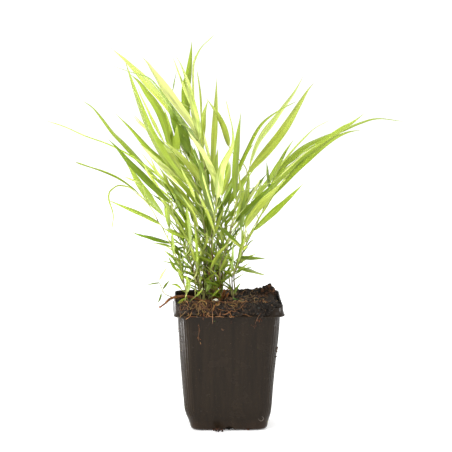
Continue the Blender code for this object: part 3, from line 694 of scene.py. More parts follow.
def area(name, loc, target, size, power, size_y=None, color=(1, 1, 1)):
    d = bpy.data.lights.new(name, "AREA")
    d.shape = "RECTANGLE"
    d.size = size
    d.size_y = size_y or size
    d.energy = power
    d.color = color
    o = bpy.data.objects.new(name, d)
    bpy.context.scene.collection.objects.link(o)
    o.location = loc
    v = Vector(target) - Vector(loc)
    o.rotation_euler = v.to_track_quat("-Z", "Y").to_euler()
    return o


area("key", (-0.75, -1.1, 1.35), (0, 0, 0.2), 0.8, 10.5)
area("strip", (-0.34, -0.085, 0.03), (-0.03, -0.03, 0.045), 0.035, 2.1, 0.16).visible_camera = False
area("strip_right", (0.34, -0.03, 0.05), (0.03, -0.02, 0.05), 0.03, 0.45, 0.16).visible_camera = False
area("fill", (1.2, -0.9, 0.8), (0, 0, 0.18), 0.9, 5.0)
area("back", (0.2, 1.4, 1.2), (0, 0, 0.2), 1.0, 9.0)

# floor
fm, fnt, fout = new_mat("floor_white")
fp = nd_(fnt, "ShaderNodeBsdfPrincipled")
ftc = nd_(fnt, "ShaderNodeTexCoord")
fn = noise_(fnt, ftc.outputs["Object"], 40.0, 3.0, 0.5)
fcol = ramp_(fnt, fn, [(0.3, (0.975, 0.975, 0.975)), (0.7, (0.985, 0.985, 0.985))])
fnt.links.new(fcol, fp.inputs["Base Color"])
fp.inputs["Roughness"].default_value = 0.9
fp.inputs["Specular IOR Level"].default_value = 0.0
fp.inputs["Emission Color"].default_value = (1.0, 1.0, 1.0, 1.0)
fp.inputs["Emission Strength"].default_value = 0.16
fnt.links.new(fp.outputs[0], fout.inputs[0])
bm = bmesh.new()
bmesh.ops.create_circle(bm, cap_ends=True, radius=14.0, segments=96)
fme = bpy.data.meshes.new("floor")
bm.to_mesh(fme)
bm.free()
fme.materials.append(fm)
floor = bpy.data.objects.new("floor", fme)
bpy.context.scene.collection.objects.link(floor)
floor.location = (0, 0, -0.0004)

# ==================================================================== blades
BLADE_NODES = []
# blade_02 takes a brighter tone as painted light, making up for the light it does not catch as it faces away
TONE_FIX = {"blade_01": "light", "blade_02": "cream", "blade_05": "mid", "blade_37": "light", "blade_10": "mid", "blade_13": "mid", "blade_12": "moss", "blade_04": "mid", "blade_17": "lime", "blade_09": "mid", "blade_18": "moss", "blade_26": "moss", "blade_32": "mid",
            # blade_38 takes the darker moss tone as painted shade, taking back the light the strip and back lamps throw
            # on it
            "blade_33": "mid", "blade_36": "moss", "blade_14": "moss", "blade_34": "mid", "blade_22": "light", "blade_38": "moss"}
# the long slender ones keep their width nearly to the tip: least width there, true width
SLENDER = {"blade_09": (0.2, 0, 0), "blade_10": (0.62, 1.7, 2.6), "blade_13": (0.55, 1.8, 2.8), "blade_15": (0.6, 0, 0),
           "blade_17": (0.3, 1.8, 4.0), "blade_30": (0.42, 2.2, 4.0), "blade_32": (0.24, 0, 0), "blade_29": (0.26, 0, 0),
           "blade_14": (0.16, 3.5, 5.4), "blade_11": (0.12, 5.4, 7.0), "blade_03": (0.2, 0, 0),
           "blade_22": (0.12, 5.2, 7.0), "blade_37": (0.12, 6.2, 7.6, 0.26), "blade_01": (0.12, 6.6, 8.4, 0.58), "blade_02": (0.12, 7.4, 9.0, 0.58),
           "blade_20": (0.12, 5.0, 7.6, 0.45), "blade_33": (0.12, 7.4, 8.6, 0.52), "blade_34": (0.12, 5.2, 7.4, 0.52),
           "blade_12": (0.12, 6.4, 8.0, 0.42), "blade_23": (0.12, 7.4, 8.6, 0.16, 2.3),
           "blade_04": (0.12, 6.2, 7.6, 0.5), "blade_05": (0.12, 6.6, 8.0, 0.27), "blade_07": (0.12, 4.8, 7.0, 0.3)}
for k, (name, spec) in enumerate(BLADES.items()):
    wd, tw, side, yb, yt, peak, twist, tone, pts = spec
    bag = Bag()
    path = blade_path(spec)
    lo, w2, t2, *pk = SLENDER.get(name, (0.12, 0, 0))
    wd, tw = w2 or wd, t2 or tw
    peak = pk[0] if pk else peak
    pw = pk[1] if len(pk) > 1 else 1.2
    put_blade(bag, path, wd, tw, side, peak, twist, across=6, seed=k + 1,
              keel=0.12 + 0.10 * ((k * 37) % 10) / 10.0, lo=lo, pw=pw)
    ob = bag.build("fine_" + name, TONES[TONE_FIX.get(name, tone)], sharp=50)
    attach(ob, "root")
    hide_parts(name)

# ===================================================================== culms
GREEN_CULM = np.array(s2l(150, 160, 78))
STRAW = np.array(s2l(186, 186, 112))
PURPLE = np.array(s2l(96, 74, 66))
BROWN = np.array(s2l(122, 92, 58))
NODE_DK = np.array(s2l(84, 66, 46))

culm_lines = {}
for name, spec in CULMS.items():
    path = culm_path(spec)
    foot = path[0].copy()
    foot2 = foot.copy()
    foot2[2] -= 5.0
    culm_lines[name] = spline([foot2] + list(path), 70)


def stem_tint(s, dark, rs_phase, nodes):
    """Colour of a stem at s (0 foot, 1 top): sheaths pale, bare stem purple or olive, dark nodes."""
    base = PURPLE * (1 - s) + (0.45 * PURPLE + 0.55 * GREEN_CULM) * s if dark else \
        (0.55 * BROWN + 0.45 * GREEN_CULM) * (1 - s) + GREEN_CULM * s
    out = base
    for a, b in nodes:
        if a <= s < a + 0.55 * (b - a):
            t = (s - a) / (0.55 * (b - a))
            out = 0.45 * base + 0.55 * (STRAW * (0.75 + 0.25 * math.sin(3 * t + rs_phase)))
        if abs(s - a) < 0.008:
            out = NODE_DK
    return out


def put_stem(bag, line, r0, r1, dark, seed, sides=8, internode=26.0, step=1.6):
    rs = random.Random(seed)
    length = float(np.linalg.norm(np.diff(line, axis=0), axis=1).sum())
    nn = max(1, int(length / internode + rs.uniform(-0.3, 0.3)))
    cuts = [0.0] + sorted((i + rs.uniform(-0.18, 0.18)) / nn for i in range(1, nn)) + [1.0]
    nodes = list(zip(cuts[:-1], cuts[1:]))
    n = int(max(12, length / step))
    p = spline(line, n)
    rad, col = [], []
    for k in range(n):
        s = k / (n - 1)
        r = r0 + (r1 - r0) * s
        for a, b in nodes:
            if a <= s < a + 0.55 * (b - a):
                r *= 1.16 - 0.10 * (s - a) / (0.55 * (b - a))
            if abs(s - a) < 0.010 and a > 0:
                r *= 1.22
        rad.append(r)
        col.append(stem_tint(s, dark, seed, nodes))
    put_tube(bag, p, rad, sides, col)
    return p


def bezier(a, b, c, d, n):
    t = np.linspace(0, 1, n)[:, None]
    a, b, c, d = (np.array(x, float) for x in (a, b, c, d))
    return (1 - t) ** 3 * a + 3 * (1 - t) ** 2 * t * b + 3 * (1 - t) * t * t * c + t ** 3 * d


def junction(lines, q, dirn, least=6.0):
    """Where a shoot that ends at q, heading along dirn, most naturally leaves a stem."""
    best = None
    for nm, ln in lines.items():
        tg = tangents(ln)
        w = q - ln
        L = np.linalg.norm(w, axis=1) + 1e-6
        wn = w / L[:, None]
        cost = L + 30 * (1 - wn @ dirn) + 26 * (1 - (wn * tg).sum(1)) + 400 * (L < least) + 3 * np.maximum(0, ln[:, 2] - q[2])
        k = int(cost.argmin())
        if best is None or cost[k] < best[0]:
            best = (cost[k], nm, k, L[k], tg[k])
    return best


def nearest_on(lines, q, below=True):
    best = None
    for nm, ln in lines.items():
        d = np.linalg.norm(ln - q, axis=1)
        if below:
            d = d + np.maximum(0, ln[:, 2] - q[2]) * 2.0
        k = int(d.argmin())
        if best is None or d[k] < best[0]:
            best = (d[k], nm, k)
    return best


for k, (name, spec) in enumerate(CULMS.items()):
    bag = Bag()
    put_stem(bag, culm_lines[name], spec[0] * 0.95, spec[0] * 0.6, spec[5], 100 + k)
    ob = bag.build("fine_" + name, M_CULM)
    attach(ob, "root")
    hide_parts(name)

# petioles: each blade is joined to the stem it grows from
pet = Bag()
for k, (name, spec) in enumerate(BLADES.items()):
    path = spline(blade_path(spec), 30)
    q, dirn = path[0], path[1] - path[0]
    dirn = dirn / np.linalg.norm(dirn)
    _, nm, i, L, tdir = junction(culm_lines, q, dirn)
    a = culm_lines[nm][i]
    line = np.vstack([bezier(a, a + tdir * L * 0.4, q - dirn * L * 0.4, q, 22), [q + dirn * 1.5, q + dirn * 3.0]])
    r0 = 0.55
    rr = np.linspace(0.52, 0.42, 24)
    rr[-3:] *= np.array([0.9, 0.7, 0.35])
    g = GREEN_CULM * 0.5 + STRAW * 0.5
    cols = [g * (0.85 + 0.3 * t) for t in np.linspace(0, 1, 24)]
    put_tube(pet, line, rr, 7, cols)
pet_ob = pet.build("leaf_stalks", M_CULM)
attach(pet_ob, "root")

# ====================================================== small blades and twigs
# (seen width, true width, side, foot depth, tip depth, belly, twist, tone, points)
SMALL = [
    (2.0, 4.0, 1, -4, -20, .3, 10, "mid", [(171, 247), (160, 244), (151, 243)]),
    (1.6, 3.6, 1, 10, -6, .3, 10, "dark", [(184, 248), (178, 248.5), (170, 250.5)]),
    (2.0, 3.8, -1, 4, -10, .3, 10, "mid", [(194, 268.5), (184, 266), (172, 263), (160, 260.5)]),
    (2.0, 4.0, 1, -4, -8, .3, 10, "light", [(184, 273), (177, 270), (172, 268)]),
    (2.2, 4.4, -1, 0, -14, .3, 10, "mid", [(193, 282), (188, 279), (183, 276), (178, 274)]),
    (1.8, 3.4, 1, -6, -10, .3, 10, "pale", [(159, 280), (163, 273), (169, 265)]),
    (1.4, 3.2, 1, -8, -16, .3, 10, "grey", [(159.5, 283), (152, 284), (145, 285)]),
    (1.8, 3.4, -1, -8, -2, .3, 10, "mid", [(163, 289), (166, 285), (170, 280)]),
    (1.8, 3.2, 1, -8, -14, .3, 10, "grey", [(161.5, 294), (160, 299), (157, 304)]),
    (3.0, 4.6, 1, -6, -16, .4, 10, "moss", [(186.5, 291), (187.5, 285), (187, 280), (186, 276)]),
    (2.6, 4.6, 1, -14, -30, .4, 0, "light", [(184.5, 299), (180, 303), (175, 309)]),
    (4.4, 6.2, -1, 18, 26, .34, 10, "mid", [(189, 244), (188, 235), (187, 215), (186, 203)]),
    (2.0, 4.4, 1, -2, -18, .3, 20, "lime", [(190, 247), (184, 233), (177, 220), (168, 206)]),
    (4.0, 5.6, 1, 24, 14, .34, 10, "mid", [(168.5, 226), (167, 216), (165, 200), (163, 192)]),
    (3.2, 5.2, -1, 34, 26, .34, 10, "dark", [(186, 218), (183, 210), (178, 202), (165, 190)]),
    (2.4, 4.6, -1, 6, 18, .3, 10, "dark", [(184, 236), (176, 232.5), (170, 232)]),
    (4.6, 6.4, 1, 8, 18, .36, 10, "mid", [(176, 150), (171, 138), (168, 124), (164, 108)]),
    (3.6, 5.6, -1, 12, 2, .36, 10, "dark", [(173, 152), (170, 140), (167, 128), (165, 112)]),
    (5.6, 7.6, -1, 26, 14, .4, 10, "mid", [(204, 178), (198, 164), (190, 148), (183, 134)]),
    (5.0, 7.0, 1, -6, -18, .4, 10, "light", [(206, 196), (202, 184), (195, 168), (186, 154)]),
    (4.4, 6.4, -1, -14, -28, .36, 10, "mid", [(198, 204), (191, 194), (181, 183), (170, 173)]),
    (4.6, 6.6, 1, 24, 38, .36, 10, "mid", [(228, 206), (234, 193), (243, 180), (252, 168)]),
    (4.2, 6.2, -1, 2, 14, .36, 10, "dark", [(222, 214), (219, 204), (218, 192), (219, 178)]),
    (4.6, 6.6, -1, -16, -34, .36, 10, "light", [(222, 196), (226, 184), (229, 172), (230, 160)]),
    (8.0, 9.4, 1, 2, 10, .4, 10, "dark", [(208, 238), (206, 222), (200, 208), (196, 195)]),
    (5.6, 7.4, 1, 22, 30, .4, -10, "mid", [(203, 224), (199, 208), (196, 192), (195, 180)]),
    (2.6, 6.0, 1, 40, 56, .3, 10, "lime", [(193, 110), (188, 98), (182, 83), (176, 66), (171.5, 54)]),
    (2.4, 5.0, 1, -40, -62, .34, 10, "light", [(164, 143), (155, 126), (147, 109), (140, 94), (137, 84)]),
    (2.6, 5.2, 1, 24, 40, .3, 10, "lime", [(282, 167), (292, 160), (302, 152), (312, 146), (321, 141)]),
    (2.4, 5.0, -1, -22, -50, .3, 10, "pale", [(246, 206), (252, 195), (258, 184), (261, 177)]),
    (1.8, 4.0, 1, 2, -10, .3, 10, "lime", [(252, 200), (258, 190), (264, 178)]),
    (2.8, 5.2, 1, 18, 36, .34, 10, "grey", [(270, 191), (268.5, 184), (267.5, 176), (266.5, 160)]),
    (3.8, 5.6, -1, 36, 22, .34, 10, "mid", [(246, 208), (247.5, 194), (248.5, 180), (249, 170)]),
    (4.4, 6.2, 1, -12, -6, .4, 10, "light", [(241, 217), (243, 205), (243.5, 195), (243, 184)]),
    (4.2, 6.0, 1, 14, 22, .34, 10, "dark", [(224, 207), (227, 197), (230, 190), (234, 179)]),
    (2.8, 5.0, -1, 30, 40, .34, 10, "mid", [(225.5, 184), (227, 172), (229, 158)]),
    (7.6, 9.0, -1, 10, 22, .4, 15, "dark", [(190, 153), (185, 141), (179, 130), (170, 116)]),
    (5.8, 7.6, 1, 2, 8, .4, 10, "mid", [(175.5, 156), (176, 146), (176.3, 135), (177, 124)]),
    (5.8, 7.6, -1, 16, 4, .34, 10, "dark", [(197, 181), (196.5, 170), (196, 158), (194, 147)]),
    (1.8, 5.0, 1, 30, 36, .3, 10, "mid", [(191, 172), (190, 158), (188, 140)]),
    (1.8, 4.0, 1, -2, 8, .3, 10, "light", [(160.5, 179), (156, 171), (153, 164), (149.5, 155)]),
    (2.8, 5.0, -1, -12, -22, .3, 10, "light", [(174.5, 194), (168, 183), (163, 173), (158, 166)]),
    (1.8, 4.0, 1, -30, -44, .3, 10, "lime", [(140, 183), (132, 180), (122, 175.5)]),
    (2.6, 5.2, 1, -12, -22, .4, 10, "pale", [(210, 160), (207, 150), (205, 140), (203, 129)]),
    (2.8, 4.8, 1, -8, 2, .34, 10, "light", [(213, 236), (216, 228), (219, 219), (222, 212), (225, 204)]),
    (3.2, 5.0, -1, -8, -26, .34, 10, "light", [(211, 269), (215, 261), (219, 254), (222, 250), (230, 242)]),
    (2.8, 4.8, 1, 12, 2, .3, 10, "dark", [(219, 226), (226, 231), (231, 236), (239, 245)]),
    (2.0, 4.0, -1, 14, 4, .3, 10, "mid", [(221, 230), (227, 234), (234, 240), (240, 247)]),
    (2.4, 4.4, 1, 18, 4, .3, 10, "mid", [(219, 227), (224, 220), (233, 210), (242, 199)]),
    (3.4, 5.2, -1, 10, -14, .3, 10, "grey", [(236, 260.5), (242, 258), (250, 258.3), (267, 258.3)]),
    (4.2, 5.6, 1, 2, -10, .45, 10, "grey", [(211, 280), (210.5, 284), (208, 288), (206, 292)]),
    (1.8, 3.6, -1, 4, -6, .3, 10, "mid", [(212, 283), (220, 281.5), (228, 279)]),
    (1.8, 3.6, 1, -2, -16, .3, 10, "mid", [(212, 296), (216, 292), (221, 288.5)]),
    (1.8, 3.4, 1, -8, -14, .3, 10, "mid", [(196, 296), (200, 292), (204, 288)]),
    (1.4, 3.0, 1, 10, 14, .3, 10, "mid", [(235, 274), (239, 271.5), (244, 269)]),
    (1.4, 3.4, 1, 16, 4, .3, 10, "mid", [(246, 247), (250, 242), (256, 238.5)]),
    (1.0, 3.0, 1, 46, 40, .3, 0, "grey", [(172.5, 91), (174.5, 80), (177, 70)]),
    (2.6, 4.4, 1, 0, 10, .3, 10, "mid", [(226, 233), (225.5, 224), (224.5, 214)]),
    (3.0, 4.6, -1, 6, -4, .34, 10, "mid", [(206, 262), (200, 258), (192, 252), (186, 249)]),
    (2.4, 4.2, 1, -2, -16, .34, 10, "light", [(203, 250), (206, 242), (207, 233), (206, 226)]),
    (2.2, 4.0, -1, 14, 24, .34, 10, "dark", [(197, 262), (191, 258), (184, 257), (178, 258)]),
    (7.6, 9.0, 1, 24, 30, .45, 10, "dark", [(187, 154), (181, 139), (175, 123), (167, 103)]),
    (6.4, 8.0, -1, 34, 30, .45, 10, "dark", [(192, 162), (188, 147), (184, 132), (179, 115)]),
    (3.6, 5.2, 1, 28, 20, .4, 10, "dark", [(172, 153), (169, 138), (165, 121), (161, 105)]),
    (3.8, 5.4, -1, 22, 20, .4, 0, "mid", [(177, 128), (177.5, 136), (176.5, 145), (174.5, 154)]),
    (5.2, 7.0, 1, -10, -22, .36, 10, "light", [(182, 170), (168, 153), (153, 136), (134, 115)]),
    (6.8, 8.4, -1, 12, 4, .4, 10, "mid", [(197, 190), (185, 172), (171, 154), (152, 133)]),
    (5.2, 7.0, 1, -20, -34, .38, 10, "light", [(204, 186), (193, 171), (178, 154), (161, 139)]),
    (6.8, 8.4, -1, 28, 34, .42, 10, "dark", [(201, 192), (198, 174), (194, 157), (189, 141)]),
    (5.8, 7.4, 1, 34, 36, .42, 10, "dark", [(206, 198), (206, 180), (203, 162), (198, 145)]),
    (5.2, 6.8, -1, 26, 20, .42, 10, "mid", [(214, 198), (214, 181), (216, 164), (218, 148)]),
    (4.4, 6.4, 1, 12, 0, .36, 10, "mid", [(190, 212), (178, 199), (163, 184), (147, 172)]),
    (3.2, 5.2, -1, 22, 8, .36, 10, "dark", [(186, 228), (176, 214), (164, 202), (150, 193)]),
    (4.0, 5.8, 1, 30, 46, .36, 10, "dark", [(238, 214), (246, 200), (256, 187), (268, 172)]),
    (3.4, 5.2, -1, 26, 40, .36, 10, "mid", [(236, 222), (240, 208), (242, 194), (243, 178)]),
    (3.0, 5.0, 1, -18, -30, .36, 10, "light", [(214, 232), (209, 218), (203, 204), (195, 190)]),
    (2.6, 4.6, -1, 8, -4, .36, 10, "mid", [(196, 240), (190, 228), (183, 216), (175, 207)]),
    (2.4, 4.4, 1, 2, -8, .36, 10, "light", [(199, 246), (196, 232), (194, 219), (191, 207)]),
    (2.6, 4.4, 1, -30, -36, .34, 10, "light", [(195, 199), (190, 187), (184, 175), (179, 163)]),
    (1.5, 3.2, 1, -32, -40, .36, 8, "lime", [(214, 214), (208, 195), (201, 171), (191, 147)]),
    (1.5, 3.2, 1, -34, -42, .4, 5, "grey", [(221, 204), (229, 189), (237, 175), (246, 163)]),
    (1.5, 3.0, -1, -20, -26, .4, 5, "light", [(241, 198), (240, 182), (238.5, 168), (238, 158)]),
    (2.0, 3.8, 1, 2, -8, .34, 10, "dark", [(187, 222), (180, 207), (172, 193), (164, 180)]),
    (1.8, 3.6, -1, 12, 2, .34, 10, "dark", [(184, 217), (176, 202), (169, 189), (163, 183)]),
    (2.8, 4.6, 1, -20, -28, .34, 10, "light", [(198, 228), (193, 214), (187, 203), (180, 193)]),
    (4.6, 6.2, 1, 8, 4, .4, 10, "dark", [(217, 226), (220, 213), (223, 199)]),
    (1.6, 3.2, 1, -34, -40, .4, 5, "pale", [(278, 178), (292, 164), (306, 152), (321, 143)]),
    (1.4, 3.0, 1, -34, -40, .4, 5, "dark", [(289, 174), (303, 160), (317, 149)]),
    (1.8, 3.4, -1, 20, 14, .4, 5, "mid", [(233, 212), (241, 190), (249, 176), (259, 163)]),
    (1.6, 3.2, 1, -8, -16, .4, 5, "light", [(206, 208), (200, 194), (192, 181), (183, 171)]),
    (2.4, 4.2, -1, 16, 10, .36, 10, "dark", [(196, 222), (191, 208), (188, 196), (187, 184)]),
    (2.0, 3.8, 1, 4, -6, .36, 10, "moss", [(207, 232), (202, 218), (196, 206), (189, 196)]),
    (2.2, 4.0, -1, -6, -14, .36, 10, "mid", [(192, 238), (184, 224), (176, 213), (166, 204)]),
    (1.8, 3.6, 1, -4, -14, .36, 10, "dark", [(188, 243), (180, 231), (171, 221), (163, 214)]),
    (2.0, 3.6, 1, 10, 16, .36, 10, "mid", [(226, 226), (232, 214), (238, 204), (243, 192)]),
    (1.8, 3.4, -1, 4, -6, .36, 10, "light", [(229, 232), (238, 220), (246, 210), (254, 202)]),
    (1.8, 3.4, 1, 6, 18, .36, 10, "dark", [(230, 240), (238, 230), (247, 222), (254, 216)]),
    (1.6, 3.2, 1, 40, 56, .4, 5, "pale", [(193.5, 106), (193, 84), (193.5, 66), (195.5, 52)]),
    (1.8, 3.4, -1, 30, 40, .4, 5, "light", [(201.5, 122), (201, 100), (199, 82), (196, 66)]),
    (2.2, 4.0, 1, -10, -18, .4, 8, "grey", [(192, 209), (178, 194), (164, 181), (152, 171)]),
    (4.4, 6.2, 1, 12, 6, .45, 8, "light", [(199, 217), (188, 202), (176, 187), (163, 172)]),
    (3.4, 5.2, -1, 6, 0, .4, 8, "mid", [(193, 213), (182, 200), (170, 186), (160, 174)]),
    (1.8, 3.4, 1, -14, -20, .4, 5, "light", [(193, 250), (183, 232), (175, 218), (168, 205)]),
    (4.0, 5.6, 1, -20, -24, .4, 0, "moss", [(190, 246), (189, 232), (188, 218), (186.5, 205)]),
    (2.4, 4.0, 1, -2, -10, .4, 8, "moss", [(187, 237), (176, 233), (165, 227)]),
    (2.2, 3.8, 1, -8, -10, .4, 0, "moss", [(173.5, 254), (172.5, 242), (171.5, 230)]),
    (4.4, 6.0, 1, -14, -16, .45, 0, "grey", [(240.5, 229), (242, 216), (243.5, 204), (245, 193)]),
    (3.0, 4.6, 1, -18, -26, .4, 5, "dark", [(220, 227), (228, 234), (236, 241), (243, 247)]),
    (3.2, 4.8, 1, -18, -22, .45, 0, "moss", [(238, 263), (240, 252), (243, 241), (246, 230)]),
    (2.8, 4.4, -1, -10, -12, .45, 0, "mid", [(242.5, 247), (243, 236), (241, 226)]),
    (2.2, 3.8, 1, -16, -20, .45, 0, "grey", [(231, 270), (232.5, 256), (233, 242)]),
    (3.0, 4.6, 1, 6, 2, .4, 5, "mid", [(216, 268), (222, 257), (229, 247)]),
    (2.6, 4.2, -1, -4, -10, .4, 5, "light", [(220, 272), (225, 262), (230, 250)]),
    (3.2, 4.8, 1, 4, 0, .4, 5, "mid", [(246, 222), (250, 212), (256, 203)]),
    (2.6, 4.4, -1, 20, 16, .4, 5, "light", [(188, 182), (184, 168), (181, 154), (179, 141)]),
    (2.4, 4.0, 1, -6, -14, .4, 5, "moss", [(184, 232), (176, 220), (169, 208), (162, 198)]),
    (2.0, 3.8, 1, -16, -24, .4, 5, "light", [(176, 222), (168, 210), (160, 198), (152, 188)]),
    (2.2, 4.0, 1, 20, 10, .4, 5, "light", [(176, 196), (163, 180), (150, 164), (140, 151)]),
    (3.6, 5.0, 1, -22, -26, .45, 0, "moss", [(169, 228), (168, 217), (166.5, 205)]),
    (3.0, 4.6, 1, -20, -24, .4, 5, "moss", [(186, 238), (175, 234), (162, 227.5)]),
    (3.0, 4.4, 1, -20, -20, .45, 0, "moss", [(173.5, 255), (172.5, 242), (172, 230)]),
    (2.4, 4.0, 1, -10, -14, .4, 5, "mid", [(180, 262), (171, 256), (163, 249)]),
    (2.2, 4.0, -1, -4, 0, .4, 5, "dark", [(184, 252), (175, 246), (167, 238)]),
    (3.2, 4.6, 1, -24, -28, .4, 0, "moss", [(187.2, 292), (188.5, 284), (186, 274)]),
    (2.0, 3.6, 1, -20, -26, .4, 5, "mid", [(181, 289), (176, 285), (170, 284)]),
    (2.4, 4.0, -1, -16, -20, .4, 5, "moss", [(178, 272), (173, 265), (168, 256)]),
    (2.6, 4.2, 1, 14, 20, .4, 5, "light", [(203, 140), (203.5, 124), (206.5, 108)]),
    (2.2, 3.8, 1, -10, -20, .4, 5, "light", [(160, 190), (150, 176), (142, 162)]),
    (1.8, 3.4, 1, 6, 0, .4, 5, "mid", [(176, 204), (164, 193), (152, 184), (143, 178)]),
    (2.8, 4.4, -1, 10, 4, .4, 5, "mid", [(244, 226), (248, 216), (250, 206)]),
    (2.0, 3.8, 1, 6, 10, .4, 5, "light", [(262, 214), (268, 203), (276, 193)]),
    (2.2, 3.8, -1, 0, 8, .4, 5, "mid", [(241, 168), (246, 155), (254, 143)]),
]
TW = Bag()


def put_twig(bag, path_pts, r0=0.45, r1=0.3, col=None, n=14, sides=6):
    line = spline(path_pts, n)
    g = (GREEN_CULM * 0.6 + BROWN * 0.4) if col is None else col
    cols = [g * (0.85 + 0.25 * math.sin(3 * t)) for t in np.linspace(0, 1, n)]
    rr = np.linspace(r0, r1, n)
    put_tube(bag, line, rr, sides, cols)
    return line


def small_path(spec):
    yb, yt, pts = spec[3], spec[4], spec[8]
    d = [0.0]
    for (a, b), (c, e) in zip(pts, pts[1:]):
        d.append(d[-1] + math.hypot(c - a, e - b))
    return [at(u, v, yb + (yt - yb) * (q / d[-1]) ** 1.2) for (u, v), q in zip(pts, d)]


def join_twig(q, dirn, lines, r0=0.44, col=None):
    _, nm, i, L, tdir = junction(lines, q, dirn, 4.0)
    a = lines[nm][i]
    line = np.vstack([bezier(a, a + tdir * L * 0.4, q - dirn * L * 0.35, q, 14), [q + dirn * 1.6]])
    g = np.array(s2l(158, 172, 84)) if col is None else col
    put_tube(TW, line, np.linspace(r0, 0.34, 15), 6, [g * (0.85 + 0.25 * math.sin(3 * t)) for t in np.linspace(0, 1, 15)])


tone_bags = {t: Bag() for t in TONES}
for k, spec in enumerate(SMALL):
    wd, tw, side, yb, yt, peak, twist, tone, pts = spec
    path = small_path(spec)
    put_blade(tone_bags[tone], path, wd, tw, side, peak, twist, across=4, seed=300 + k, keel=0.16)
    if k in (5, 6, 7, 8):
        continue
    pp = spline(path, 20)
    dirn = pp[1] - pp[0]
    dirn /= np.linalg.norm(dirn)
    join_twig(pp[0], dirn, culm_lines)

# the little side shoot that hangs out on the left
side_stem = [np.array([-40.0, 10.0, 101.5]), at(172, 297, 0), at(165, 294, -4), at(162, 289, -6), at(159.5, 283, -6.5)]
put_twig(TW, side_stem, 0.5, 0.3, GREEN_CULM * 0.5 + BROWN * 0.5, n=20)
put_twig(TW, [at(163, 291, -5), at(161.8, 293, -6.5), at(161, 296, -8)], 0.3, 0.2, n=6)
put_twig(TW, [at(186.5, 291, -6), at(186, 296, -7), at(185.2, 300, -8), at(185, 303, -8.5)], 0.45, 0.5, n=10)
put_twig(TW, [at(195.5, 271, -8), at(195.2, 282, -6), at(195.3, 298, -5)], 0.38, 0.5, n=12)

# ------------------------------------------- thin young stems round the crown
rs = random.Random(5)
YOUNG = []
for k in range(18):
    a = rs.uniform(0, 2 * math.pi)
    rr = math.sqrt(rs.random())
    fx = CROWN[0] - 2 + (CROWN_R[0] - 3.5) * rr * math.cos(a)
    fy = CROWN[1] - 1 + (CROWN_R[1] + 2) * rr * math.sin(a)
    foot = np.array([fx, fy, soil_z(fx, fy) - 2.0])
    lean = (fx - CROWN[0] + 2) / 9.5
    u_top = 207 + 27 * lean + rs.uniform(-20, 18)
    v_top = rs.uniform(204, 264)
    ytop = fy + rs.uniform(-26, 20)
    q = at(u_top, v_top, ytop)
    mid = foot * 0.6 + q * 0.4 + np.array([rs.uniform(-2.5, 2.5), rs.uniform(-3, 3), rs.uniform(0, 5)])
    YOUNG.append((k, spline([foot, mid, q], 40)))
ybag = Bag()
FILL_TONE = ("mid", "moss", "dark", "light", "grey", "moss", "dark", "light", "dark", "moss", "mid", "fresh")


def fill_leaf(q, t, big, k):
    """A short blade that leaves a stem at q, the stem heading along t."""
    out = np.array([rs.uniform(-1.0, 1.0), rs.uniform(-0.8, 0.8), rs.uniform(-0.2, 0.9)])
    out /= np.linalg.norm(out)
    d = t * (1.3 if big else rs.uniform(0.4, 1.0)) + out * rs.uniform(0.6, 1.0)
    d /= np.linalg.norm(d)
    L = rs.uniform(8, 24) * (1.3 if big else 1.0)
    drop = np.array([0, 0, -L * rs.uniform(0.0, 0.24)])
    pth = [q, q + d * L * 0.33 + drop * 0.1, q + d * L * 0.68 + drop * 0.45, q + d * L + drop]
    tw = rs.uniform(1.7, 3.5) * (1.15 if big else 1.0)
    put_blade(tone_bags[rs.choice(FILL_TONE)], pth, tw * rs.uniform(0.45, 0.95), tw, rs.choice((-1, 1)),
              rs.uniform(.28, .4), rs.uniform(-35, 35), across=4, stations=14, seed=k, keel=0.2)


for k, ln in YOUNG:
    r = rs.uniform(0.24, 0.40)
    put_stem(ybag, ln, r, r * 0.7, k % 4 != 0, 500 + k, sides=6, internode=16.0, step=2.0)
    for j in range(rs.choice((3, 4, 5))):
        i = 39 if j == 0 else rs.randint(14, 38)
        t = ln[i] - ln[i - 2]
        fill_leaf(ln[i], t / np.linalg.norm(t), j == 0, 900 + 9 * k + j)
# short leaves along the lower part of the culms, thickest at the left
for k in range(112):
    nm = rs.choice(("culm_01", "culm_02", "culm_02", "culm_03", "culm_03", "culm_04", "culm_05", "culm_05", "culm_06", "culm_07",
                    "culm_08", "culm_09", "culm_10", "culm_11", "culm_12", "culm_13", "culm_14"))
    ln = culm_lines[nm]
    top = {"culm_01": 30, "culm_13": 60, "culm_14": 34}.get(nm, 44)
    lo = {"culm_01": 14, "culm_13": 22, "culm_14": 14}.get(nm, 6)
    i = rs.randint(lo, top)
    t = ln[i + 1] - ln[i - 1]
    fill_leaf(ln[i], t / np.linalg.norm(t), False, 1500 + k)
# narrow dark leaves that fan out low down and close the middle of the clump
for k in range(96):
    nm = rs.choice(("culm_02", "culm_03", "culm_04", "culm_05", "culm_06", "culm_07", "culm_08", "culm_09", "culm_10", "culm_11", "culm_12", "culm_13"))
    ln = culm_lines[nm]
    i = rs.randint(4, 30)
    t = ln[i + 1] - ln[i - 1]
    t /= np.linalg.norm(t)
    sx = -1.0 if rs.random() < 0.56 else 1.0
    d = t * rs.uniform(0.5, 1.1) + np.array([sx * rs.uniform(0.25, 1.0), rs.uniform(-0.8, 0.6), rs.uniform(-0.1, 0.3)])
    d /= np.linalg.norm(d)
    L = rs.uniform(11, 29)
    bend = np.array([sx * L * rs.uniform(-0.05, 0.12), 0, -L * rs.uniform(0.0, 0.2)])
    tw = rs.uniform(1.4, 2.7)
    put_blade(tone_bags[rs.choice(("dark", "moss", "dark", "mid", "dark", "moss", "grey", "light"))],
              [ln[i], ln[i] + d * L * 0.33 + bend * 0.12, ln[i] + d * L * 0.68 + bend * 0.5, ln[i] + d * L + bend],
              tw * rs.uniform(0.5, 0.95), tw, rs.choice((-1, 1)), rs.uniform(.3, .42), rs.uniform(-35, 35), across=4, stations=14,
              seed=2600 + k, keel=0.2)
